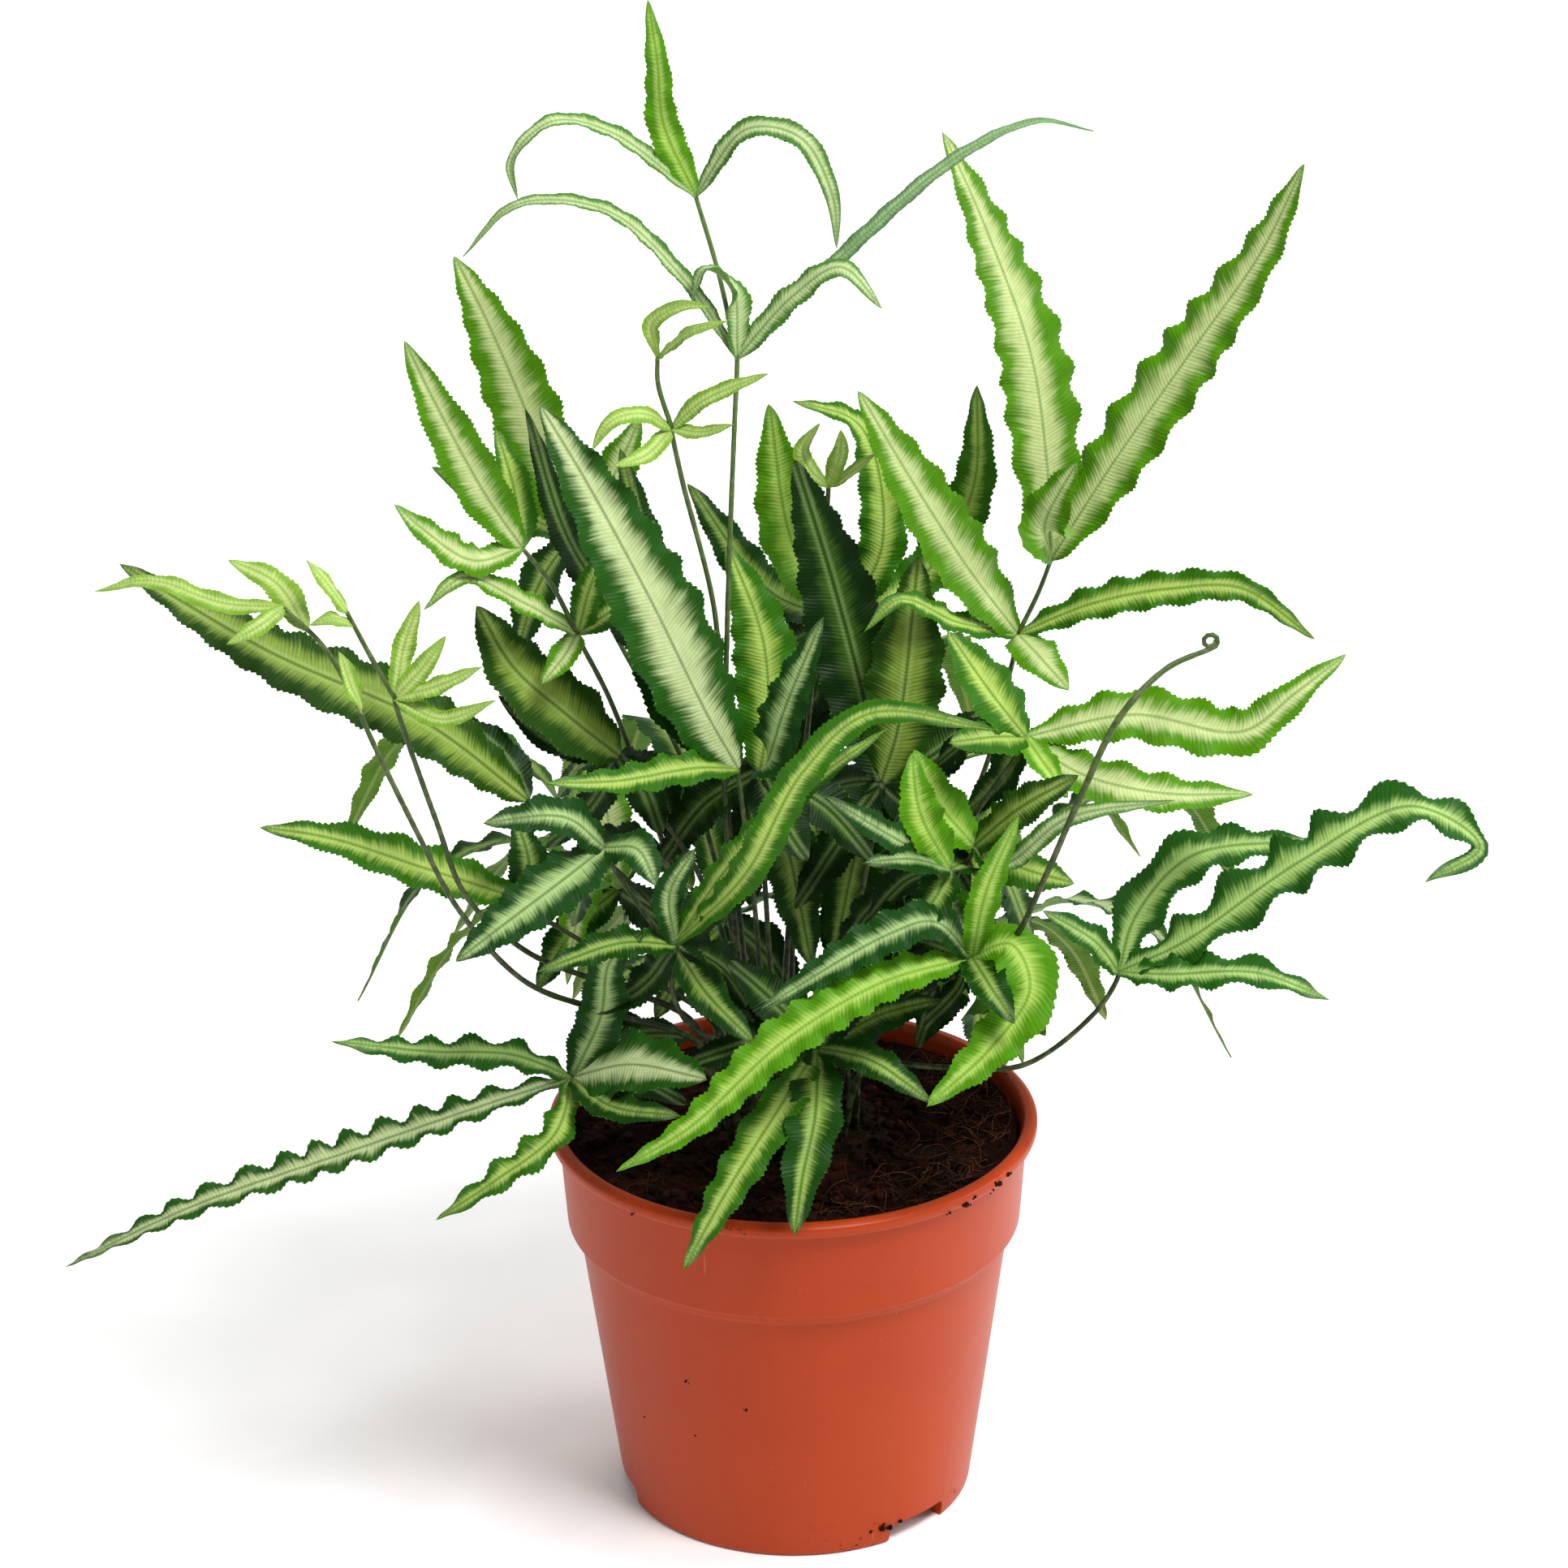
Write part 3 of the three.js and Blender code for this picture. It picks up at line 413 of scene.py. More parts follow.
def tube(points, radii, sides, spacing, wobble=0.0, seed=0):
    """A closed tube along a curve, with its radii spaced evenly from its start to its end."""
    path, lengths = curve(points)
    rings = max(int(lengths[-1] / spacing), 4) + 1
    t = np.linspace(0, 1, rings)
    place, direction = along_curve(path, lengths, t)
    across = np.cross(direction, (0.31, 0.95, 0.1))
    across /= np.linalg.norm(across, axis=1)[:, None]
    other = np.cross(direction, across)
    draw = np.random.RandomState(seed)
    radius = np.interp(t, np.linspace(0, 1, len(radii)), radii)
    radius = radius * (1 + wobble * draw.uniform(-1, 1, rings))
    angle = np.arange(sides) * 2 * math.pi / sides
    cosine, sine = np.cos(angle)[None, :, None], np.sin(angle)[None, :, None]
    ring = across[:, None] * cosine + other[:, None] * sine
    verts = (place[:, None] + radius[:, None, None] * ring).reshape(-1, 3)
    faces = []
    for i in range(rings - 1):
        for k in range(sides):
            a, b = i * sides + k, i * sides + (k + 1) % sides
            faces.append([a, b, b + sides, a + sides])
    faces.append(list(range(sides))[::-1])
    faces.append([(rings - 1) * sides + k for k in range(sides)])
    return verts, faces


# ---------------------------------------------------------------- the fronds, in millimetres
# These tables repeat the ones of the solid model; a helper program wrote them out of it.
# Each leaflet: (width, roll in degrees, twist in degrees, tone, ruffle height, points of its midrib).
FRONDS = [
    {
        "stem": [
            (-8, -1, 100), (-12, -4, 150), (-15, -10, 195),
            (-14, -12, 237), (-12, -8, 278), (-11, -6, 296),
        ],
        "rachis": [(-11, -6, 297), (-15, -2, 316), (-20, 0, 334)],
        "leaflets": [
            (8, -30, 0, "bright", 0.5, [(-20, 0, 334), (-27, -3, 352), (-28, -4, 366), (-30, 0, 380)]),
            (
                5, 0, 20, "grey", 0.3,
                [(-20, 0, 334), (-39, -6, 351), (-52, -11, 355), (-61, -14, 347), (-60, -14, 338)]
            ),
            (
                6, 0, 0, "grey", 0.3,
                [(-20, 0, 334), (-8, -5, 351), (4, -9, 350), (11, -11, 337), (12, -12, 325)]
            ),
            (
                5, 10, 0, "grey", 0.3,
                [(-11, -6, 297), (-22, -10, 316), (-40, -17, 336), (-60, -22, 339), (-72, -24, 328)]
            ),
            (8, 40, 0, "grey", 0.5, [(-11, -6, 297), (-12, -9, 315), (-18, -14, 321), (-21, -15, 314)]),
            (7, 0, 0, "grey", 0.5, [(-11, -6, 297), (2, -10, 313), (13, -14, 321), (22, -16, 312)]),
            (
                4, 0, 0, "slate", 0.3,
                [(-11, -6, 297), (12, -3, 319), (40, 2, 342), (58, 6, 349), (71, 8, 346)]
            ),
        ],
    },
    {
        "stem": [
            (-5, -5, 100), (-13, -11, 150), (-16, -14, 211),
            (-17, -15, 238), (-24, -18, 272), (-26, -20, 284),
        ],
        "rachis": [(-26, -20, 285), (-29, -20, 296), (-29, -20, 302)],
        "leaflets": [
            (5, 0, 0, "young", 0.3, [(-26, -20, 285), (-33, -24, 290), (-40, -27, 289), (-44, -28, 283)]),
            (5, 0, 0, "young", 0.3, [(-26, -20, 285), (-32, -27, 281), (-39, -31, 280)]),
            (5, 0, 0, "young", 0.3, [(-26, -20, 285), (-19, -22, 292), (-4, -26, 300)]),
            (4, 0, 0, "young", 0.3, [(-26, -20, 285), (-19, -26, 286), (-12, -29, 289)]),
            (4, 20, 0, "young", 0.3, [(-29, -20, 302), (-30, -23, 311), (-23, -25, 316), (-17, -26, 316)]),
            (4, 0, 0, "young", 0.3, [(-29, -20, 302), (-21, -28, 311), (-13, -30, 314)]),
        ],
    },
    {
        "stem": [(-11, 4, 100), (-12, 9, 130), (-25, 20, 183), (-42, 28, 216), (-52, 32, 238)],
        "leaflets": [
            (17, -20, 10, "lime", 0.8, [(-52, 32, 239), (-59, 34, 262), (-70, 38, 290), (-78, 38, 308)]),
            (12, 10, 0, "lime", 0.8, [(-52, 32, 239), (-43, 40, 249), (-35, 46, 264)]),
            (10, 0, 0, "leafy", 0.8, [(-52, 32, 239), (-66, 45, 241), (-86, 52, 250)]),
            (11, 0, 0, "deep", 0.8, [(-52, 32, 239), (-60, 34, 226), (-66, 34, 208)]),
        ],
    },
    {
        "stem": [(-16, -3, 100), (-20, -3, 135), (-33, -4, 183), (-42, -8, 213), (-49, -17, 233)],
        "rachis": [(-49, -18, 234), (-55, -20, 248), (-61, -22, 257)],
        "leaflets": [
            (12, -20, 0, "lime", 0.6, [(-61, -22, 257), (-69, -24, 271), (-80, -26, 295), (-86, -24, 308)]),
            (9, 0, 0, "lime", 0.8, [(-61, -22, 257), (-72, -30, 257), (-83, -33, 266), (-89, -33, 272)]),
            (9, 20, 0, "leafy", 0.6, [(-61, -22, 257), (-63, -13, 268), (-67, -8, 281)]),
            (7, 0, 0, "lime", 0.8, [(-49, -18, 234), (-62, -27, 246), (-74, -33, 254), (-83, -37, 248)]),
            (7, 0, 0, "lime", 0.6, [(-49, -18, 234), (-52, -25, 231), (-57, -29, 226)]),
            (8, 30, 0, "leafy", 0.6, [(-49, -18, 234), (-46, -11, 243), (-42, -8, 251)]),
            (7, 0, 0, "leafy", 0.6, [(-49, -18, 234), (-41, -12, 237), (-33, -10, 240)]),
        ],
    },
    {
        "stem": [(-4, -10, 100), (-7, -16, 140), (-9, -20, 170), (-12, -22, 200)],
        "leaflets": [
            (
                22, 0, 0, "silver", 0.9,
                [(-12, -22, 201), (-19, -25, 216), (-32, -28, 247), (-46, -26, 275), (-56, -18, 290)]
            ),
            (12, 20, 0, "painted_shade", 0.6, [(-12, -22, 201), (-33, -10, 227), (-50, -5, 250), (-60, -6, 285)]),
            (14, 10, 0, "deep", 0.7, [(-12, -22, 201), (-27, -14, 214), (-33, 6, 243), (-39, 14, 268)]),
            (9, 0, 0, "leafy", 1, [(-12, -22, 201), (-22, -33, 206), (-40, -40, 206), (-56, -43, 207)]),
        ],
    },
    {
        "stem": [(-9, -7, 100), (-14, -12, 135), (-28, -20, 160), (-48, -30, 186), (-60, -34, 198)],
        "leaflets": [
            (17, 0, 0, "olive", 0.9, [(-61, -34, 199), (-84, -39, 221), (-119, -37, 238), (-153, -27, 256)]),
            (10, 20, 0, "painted_shade", 0.6, [(-61, -34, 199), (-67, -28, 208), (-80, -27, 219)]),
        ],
    },
    {
        "stem": [
            (-15, -14, 100), (-22, -20, 128), (-42, -33, 143), (-62, -52, 161),
            (-76, -62, 184), (-84, -66, 204), (-96, -64, 233),
        ],
        "rachis": [(-96, -64, 234), (-104, -60, 248), (-113, -58, 257)],
        "leaflets": [
            (6, 30, 0, "young", 0.5, [(-96, -64, 234), (-98, -68, 242), (-100, -70, 251)]),
            (5, 0, 0, "young", 0.6, [(-113, -58, 257), (-127, -55, 257), (-143, -51, 261), (-156, -49, 258)]),
            (7, 0, 0, "young", 0.6, [(-108, -59, 252), (-115, -51, 260), (-126, -46, 264)]),
            (5, 0, 0, "young", 0.4, [(-113, -58, 257), (-118, -64, 255), (-125, -67, 252)]),
        ],
    },
    {
        "stem": [
            (-17, -9, 100), (-24, -15, 132), (-44, -25, 147), (-62, -40, 163),
            (-75, -50, 182), (-81, -54, 203), (-89, -56, 233),
        ],
        "rachis": [(-89, -56, 234), (-94, -56, 244), (-99, -56, 255)],
        "leaflets": [
            (5, 20, 0, "young", 0.4, [(-99, -56, 255), (-103, -59, 263), (-107, -60, 269)]),
            (4, 0, 0, "young", 0.4, [(-98, -56, 252), (-102, -60, 255), (-107, -61, 254)]),
            (6, 40, 0, "young", 0.4, [(-89, -56, 234), (-87, -53, 245), (-83, -52, 256)]),
            (5, 20, 0, "young", 0.4, [(-89, -56, 234), (-82, -56, 242), (-77, -56, 249)]),
            (5, 0, 0, "young", 0.4, [(-89, -56, 234), (-79, -59, 238), (-69, -60, 243)]),
            (5, 0, 0, "young", 0.4, [(-89, -56, 234), (-78, -62, 231), (-66, -63, 236)]),
        ],
    },
    {
        "stem": [(-13, -9, 100), (-18, -14, 130), (-34, -24, 148), (-52, -37, 166), (-62, -42, 176)],
        "leaflets": [
            (12, 0, 0, "leafy", 0.9, [(-62, -42, 177), (-84, -44, 186), (-106, -46, 195), (-122, -46, 198)]),
            (10, 10, 0, "deep", 0.7, [(-62, -42, 177), (-61, -36, 184), (-64, -31, 193)]),
        ],
    },
    {
        "stem": [(-12, -4, 100), (-14, -7, 140), (-22, -12, 170), (-34, -16, 192), (-40, -16, 201)],
        "leaflets": [
            (19, 0, 0, "olive", 0.8, [(-40, -16, 202), (-52, -19, 214), (-64, -21, 227), (-72, -20, 242)]),
            (10, 20, 0, "painted_shade", 0.6, [(-40, -16, 202), (-34, -22, 196), (-30, -30, 188)]),
            (8, 0, 0, "painted_shade", 0.6, [(-40, -16, 202), (-55, -16, 206), (-68, -14, 217)]),
            (10, 0, 0, "painted_shade", 0.8, [(-40, -16, 202), (-47, -13, 188), (-58, -12, 177)]),
        ],
    },
    {
        "stem": [(-9, -13, 100), (-14, -21, 133), (-28, -36, 161), (-43, -44, 190)],
        "leaflets": [
            (11, 0, 0, "blue", 0.9, [(-43, -44, 191), (-52, -49, 201), (-70, -54, 202)]),
            (15, 0, 0, "blue", 0.9, [(-43, -44, 191), (-53, -59, 189), (-65, -70, 184), (-76, -77, 178)]),
            (10, 0, 0, "blue", 0.8, [(-43, -44, 191), (-35, -50, 193), (-31, -54, 186)]),
        ],
    },
    {
        "stem": [(-6, -17, 100), (-12, -26, 128), (-24, -38, 142), (-28, -44, 155), (-27, -46, 166)],
        "leaflets": [
            (8, 20, 0, "blue", 0.9, [(-27, -46, 167), (-28, -50, 182), (-22, -52, 194)]),
            (8, 0, 0, "leafy", 0.8, [(-27, -46, 167), (-14, -55, 191), (4, -58, 212), (22, -56, 225)]),
            (
                9, 0, 60, "leafy", 0.8,
                [(-27, -46, 167), (-10, -63, 193), (3, -68, 220), (18, -68, 234), (47, -64, 228)]
            ),
            (9, 0, 0, "deep", 1, [(-27, -46, 167), (-40, -58, 173), (-58, -66, 170)]),
            (10, 0, 0, "deep", 1, [(-27, -46, 167), (-20, -43, 153), (-9, -45, 141)]),
            (9, 0, 0, "painted_shade", 1, [(-27, -46, 167), (-35, -43, 155), (-47, -43, 148)]),
        ],
    },
    {
        "stem": [(-11, -18, 100), (-18, -26, 122), (-28, -33, 131), (-40, -38, 133), (-51, -40, 130)],
        "leaflets": [
            (8, 0, 0, "fern", 1.6, [(-52, -40, 130), (-66, -44, 138), (-85, -46, 140), (-108, -44, 142)]),
            (
                8, 0, 0, "silver", 1.9,
                [(-52, -40, 130), (-72, -50, 128), (-103, -53, 118), (-142, -50, 102), (-174, -44, 83)]
            ),
            (8, 0, 0, "leafy", 1.6, [(-52, -40, 130), (-56, -54, 122), (-70, -60, 113), (-84, -60, 103)]),
            (18, 0, 0, "silver", 1.1, [(-52, -40, 130), (-38, -50, 138), (-20, -66, 142)]),
            (9, 0, 0, "deep", 0.8, [(-52, -40, 130), (-42, -58, 131), (-26, -69, 134)]),
            (12, 30, 0, "blue", 0.9, [(-52, -40, 130), (-45, -43, 147), (-42, -50, 165), (-34, -55, 174)]),
            (10, 0, 0, "painted_shade", 0.9, [(-52, -40, 130), (-39, -34, 127), (-25, -33, 119)]),
        ],
    },
    {
        "stem": [(8, -15, 100), (11, -21, 125), (24, -32, 144), (35, -42, 157), (42, -46, 162)],
        "leaflets": [
            (
                12, 0, 0, "bright", 1.1,
                [(42, -46, 163), (20, -60, 163), (-2, -67, 152), (-24, -71, 132), (-41, -71, 121)]
            ),
            (11, 0, 0, "blue", 0.9, [(42, -46, 163), (33, -50, 174), (22, -55, 173), (-7, -62, 158)]),
            (
                14, 0, 0, "bright", 1,
                [(42, -46, 163), (51, -50, 168), (55, -57, 160), (46, -63, 148), (31, -69, 136)]
            ),
            (10, 0, 0, "deep", 0.8, [(42, -46, 163), (46, -61, 162), (51, -67, 156)]),
            (8, 30, 0, "bright", 0.8, [(42, -46, 163), (45, -54, 184), (52, -58, 204)]),
            (10, 0, 0, "painted_shade", 0.9, [(42, -46, 163), (39, -37, 150), (31, -33, 139)]),
        ],
    },
    {
        "stem": [(2, -19, 100), (3, -27, 122), (5, -36, 134), (6, -41, 138)],
        "leaflets": [
            (11, 0, 0, "leafy", 1, [(6, -42, 138), (-4, -60, 130), (-15, -70, 116), (-26, -71, 95)]),
            (13, 0, 0, "deep", 1, [(6, -42, 138), (5, -61, 129), (2, -71, 119), (0, -75, 106)]),
            (9, 0, 0, "deep", 0.8, [(6, -42, 138), (19, -54, 140), (32, -63, 134)]),
            (12, 10, 0, "painted_shade", 0.8, [(6, -42, 138), (12, -40, 151), (17, -38, 165)]),
            (12, 0, 0, "painted_shade", 0.8, [(6, -42, 138), (-5, -38, 149), (-15, -36, 158)]),
            (11, 0, 0, "painted_shade", 0.9, [(6, -42, 138), (-9, -42, 139), (-25, -40, 133)]),
            (11, 0, 0, "deep", 0.9, [(6, -42, 138), (21, -37, 144), (35, -35, 147)]),
        ],
    },
    {
        "stem": [(10, 3, 100), (12, 7, 132), (25, 9, 150), (45, 12, 180), (53, 15, 209), (55, 16, 218)],
        "rachis": [(55, 16, 219), (60, 18, 229), (63, 19, 237)],
        "leaflets": [
            (
                19, 15, 0, "lime", 1,
                [(63, 19, 237), (62, 22, 258), (58, 25, 286), (47, 24, 318), (37, 21, 342)]
            ),
            (
                19, -15, 0, "lime", 1.1,
                [(63, 19, 237), (78, 19, 262), (96, 18, 290), (111, 16, 314), (120, 13, 336)]
            ),
            (13, 0, 0, "lime", 0.8, [(63, 19, 237), (61, 11, 249), (68, 6, 266)]),
            (17, 0, 0, "lime", 0.8, [(55, 16, 219), (43, 10, 238), (29, 8, 262), (17, 10, 283)]),
            (7, 0, 0, "leafy", 0.8, [(55, 16, 219), (40, 4, 227), (26, -4, 236), (18, -6, 229)]),
            (11, 0, 0, "lime", 0.7, [(55, 16, 219), (59, 3, 219), (66, -7, 214)]),
            (
                9, 0, 40, "leafy", 1.2,
                [(55, 16, 219), (73, 8, 230), (91, 4, 235), (107, 1, 236), (124, -4, 225)]
            ),
        ],
    },
    {
        "stem": [(13, -3, 100), (15, -6, 132), (26, -10, 152), (43, -20, 187), (55, -26, 209)],
        "leaflets": [
            (
                13, 0, 40, "lime", 1.2,
                [(55, -26, 210), (80, -30, 217), (105, -31, 213), (117, -30, 222), (129, -26, 230)]
            ),
            (12, 0, 0, "lime", 1, [(55, -26, 210), (67, -36, 205), (85, -41, 202), (107, -40, 201)]),
            (14, 10, 0, "leafy", 0.8, [(55, -26, 210), (47, -26, 221), (37, -22, 235)]),
            (12, 0, 0, "leafy", 0.8, [(55, -26, 210), (47, -33, 213), (37, -36, 213)]),
            (7, 0, 0, "bright", 0.8, [(55, -26, 210), (59, -38, 208), (64, -45, 203)]),
            (10, 0, 0, "deep", 0.8, [(55, -26, 210), (50, -20, 197), (41, -17, 186)]),
        ],
    },
    {
        "stem": [(10, -8, 100), (15, -14, 130), (28, -20, 155), (39, -28, 176), (43, -32, 184)],
        "leaflets": [
            (11, 20, 0, "olive", 0.8, [(43, -32, 185), (54, -47, 202), (66, -51, 211)]),
            (5, 0, 60, "grey", 0.4, [(43, -32, 185), (50, -44, 186), (64, -52, 201), (88, -52, 205)]),
            (12, 0, 0, "bright", 0.8, [(43, -32, 185), (34, -30, 196), (29, -28, 208)]),
            (12, 0, 0, "leafy", 0.8, [(43, -32, 185), (54, -36, 181), (66, -38, 178)]),
        ],
    },
    {
        "stem": [
            (12, -13, 100), (18, -21, 122), (38, -29, 126),
            (55, -32, 128), (72, -34, 143), (77, -34, 152),
        ],
        "leaflets": [
            (8, 0, 0, "fern", 0.9, [(77, -34, 153), (71, -38, 163), (59, -38, 171)]),
            (12, 10, 0, "fern", 1.4, [(77, -34, 153), (81, -31, 166), (94, -28, 180), (123, -24, 182)]),
            (
                13, 0, 0, "fern", 2.2,
                [
                    (77, -34, 153), (92, -39, 163), (118, -41, 184),
                    (144, -39, 197), (160, -40, 187), (147, -46, 181),
                ]
            ),
            (9, 0, 0, "fern", 1.5, [(77, -34, 153), (88, -44, 157), (108, -50, 160), (125, -50, 153)]),
        ],
    },
    {
        "stem": [(1, 8, 100), (0, 16, 130), (3, 26, 160), (10, 32, 192), (14, 34, 215)],
        "leaflets": [
            (12, 10, 0, "leafy", 0.8, [(14, 34, 216), (23, 36, 235), (18, 38, 264), (2, 32, 273)]),
            (15, 0, 0, "bright", 0.9, [(14, 34, 216), (2, 33, 234), (-4, 30, 273)]),
            (13, 0, 0, "leafy", 0.8, [(14, 34, 216), (33, 42, 224), (45, 44, 245), (46, 42, 273)]),
            (12, 0, 0, "deep", 0.8, [(14, 34, 216), (-4, 45, 219), (-24, 52, 245)]),
            (12, 0, 0, "painted_shade", 0.8, [(14, 34, 216), (7, 29, 200), (-6, 25, 185)]),
            (12, 0, 0, "painted_shade", 0.8, [(14, 34, 216), (26, 31, 204), (35, 28, 187)]),
        ],
    },
    {
        "stem": [(5, -2, 100), (12, 0, 140), (18, 0, 163), (22, 0, 187)],
        "leaflets": [
            (20, 0, 0, "painted_shade", 0.8, [(22, 0, 188), (18, 8, 206), (11, 14, 233), (2, 16, 264)]),
            (19, 0, 0, "olive", 0.9, [(22, 0, 188), (26, 0, 202), (31, 6, 243)]),
            (15, 0, 0, "painted_shade", 0.6, [(22, 0, 188), (34, 1, 194), (47, 4, 204)]),
            (12, 0, 0, "painted_shade", 0.9, [(22, 0, 188), (12, -5, 175), (1, -7, 158)]),
            (12, 0, 0, "painted_shade", 0.9, [(22, 0, 188), (34, -5, 177), (43, -7, 162)]),
        ],
    },
    {
        "stem": [(0, -7, 100), (-4, -11, 130), (-6, -12, 165), (-7, -12, 195)],
        "leaflets": [
            (16, 0, 0, "leafy", 0.8, [(-7, -12, 196), (-5, -8, 208), (-6, -3, 226), (-14, 2, 248)]),
            (12, 0, 0, "blue", 0.9, [(-7, -12, 196), (-5, -20, 202), (-1, -27, 218), (8, -30, 242)]),
            (13, 0, 0, "painted_shade", 0.6, [(-7, -12, 196), (-4, -17, 191), (0, -24, 185), (4, -30, 181)]),
            (12, 0, 0, "painted_shade", 0.9, [(-7, -12, 196), (8, -14, 188), (20, -14, 173)]),
            (12, 0, 0, "painted_shade", 0.9, [(-7, -12, 196), (-20, -10, 187), (-31, -11, 172)]),
        ],
    },
    {
        "stem": [(4, -13, 100), (6, -19, 132), (20, -30, 158), (31, -36, 175), (36, -38, 181)],
        "leaflets": [
            (11, 0, 0, "bright", 0.8, [(37, -38, 182), (30, -42, 198), (28, -42, 213)]),
            (9, 0, 0, "blue", 0.8, [(37, -38, 182), (27, -50, 190), (17, -54, 191)]),
            (9, 0, 0, "blue", 0.8, [(37, -38, 182), (23, -48, 195), (8, -50, 206)]),
            (10, 0, 0, "deep", 0.8, [(37, -38, 182), (33, -45, 177), (26, -47, 170)]),
        ],
    },
    {
        "stem": [(-3, 4, 100), (-1, 8, 140), (3, 14, 180), (8, 20, 230), (10, 22, 254)],
        "leaflets": [
            (5, 0, 0, "young", 0.3, [(10, 22, 255), (6, 21, 259), (4, 19, 265), (8, 16, 273)]),
            (5, 0, 0, "young", 0.3, [(10, 22, 255), (12, 21, 260), (13, 19, 265), (13, 17, 271)]),
            (4, 0, 0, "young", 0.3, [(10, 22, 255), (14, 20, 258), (18, 17, 262), (21, 14, 266)]),
        ],
    },
]

# The hidden fronds: (heading from +X, reach, height of the first leaflets, stem foot on the crown).
BACK_FRONDS = [
    (156, 46, 152, (-12, 10)),
    (112, 42, 134, (-3, 14)),
    (66, 42, 156, (6, 13)),
    (24, 48, 134, (13, 9)),
]
# Their leaflets: (turn from the frond's heading, length, rise, droop at the tip, width).
BACK_LEAFLETS = [
    (0, 85, 55, 45, 15),
    (55, 80, 35, 40, 13),
    (-55, 80, 35, 40, 13),
    (25, 62, 10, 48, 12),
    (-95, 40, 12, 24, 11),
    (95, 40, 18, 24, 11),
]
CROZIER_PATH = [
    (15, -9, 100), (18, -20, 131), (34, -32, 149), (51, -46, 167), (58, -56, 187),
    (66, -59, 209), (75, -55, 227), (86, -48, 236), (96, -44, 239),
]


# ---------------------------------------------------------------- leaflets
FACING = np.array((0.0, -0.6, 0.8))
BACK_FACING = np.array((0.0, 0.3, 0.95))
STALK_WIDTH = 1.6
ROW = 0.45
ROWS_A_TOOTH = 3
TOOTH_DEPTH = 0.6
DEEP_WAVE = 1.3
ACROSS = np.array((-1, -0.9, -0.7, -0.45, -0.2, 0, 0.2, 0.45, 0.7, 0.9, 1.0))
BELOW = ACROSS[1:-1]
LEAF_SKIN = 0.2
KEEL = 0.35
# Margin green, silver band, and how far out from the midrib the band reaches (0 to 1).
TONES = {
    "lime": ((76, 134, 2), (190, 204, 138), 0.42),
    "bright": ((82, 144, 8), (166, 202, 82), 0.34),
    "leafy": ((46, 102, 4), (160, 188, 82), 0.36),
    "silver": ((28, 78, 6), (184, 200, 144), 0.44),
    # A darker green, made darker still as painted shade for leaflets inside the plant.
    "deep": ((18, 62, 2), (132, 164, 68), 0.3),
    "olive": ((32, 70, 2), (128, 154, 60), 0.42),
    # Painted shade: a near-black green for leaflets in the plant's middle, standing in for the shadow there.
    "painted_shade": ((10, 42, 1), (62, 96, 24), 0.26),
    "blue": ((18, 64, 10), (156, 186, 116), 0.32),
    "fern": ((34, 90, 20), (158, 192, 104), 0.38),
    "young": ((124, 164, 52), (182, 204, 118), 0.42),
    "grey": ((72, 120, 44), (178, 198, 140), 0.5),
    "slate": ((84, 124, 76), (146, 180, 124), 0.35),
}


def leaf_frames(points, roll, twist, facing, t):
    """Centre line, and the directions along, across and out of the leaf at shares t."""
    path, lengths = curve(points)
    centre, along = along_curve(path, lengths, t)
    up = facing - along * (along @ facing)[:, None]
    up /= np.linalg.norm(up, axis=1)[:, None]
    angle = np.radians(roll + twist * t)[:, None]
    up = up * np.cos(angle) + np.cross(along, up) * np.sin(angle)
    return centre, along, np.cross(along, up), up, lengths[-1]


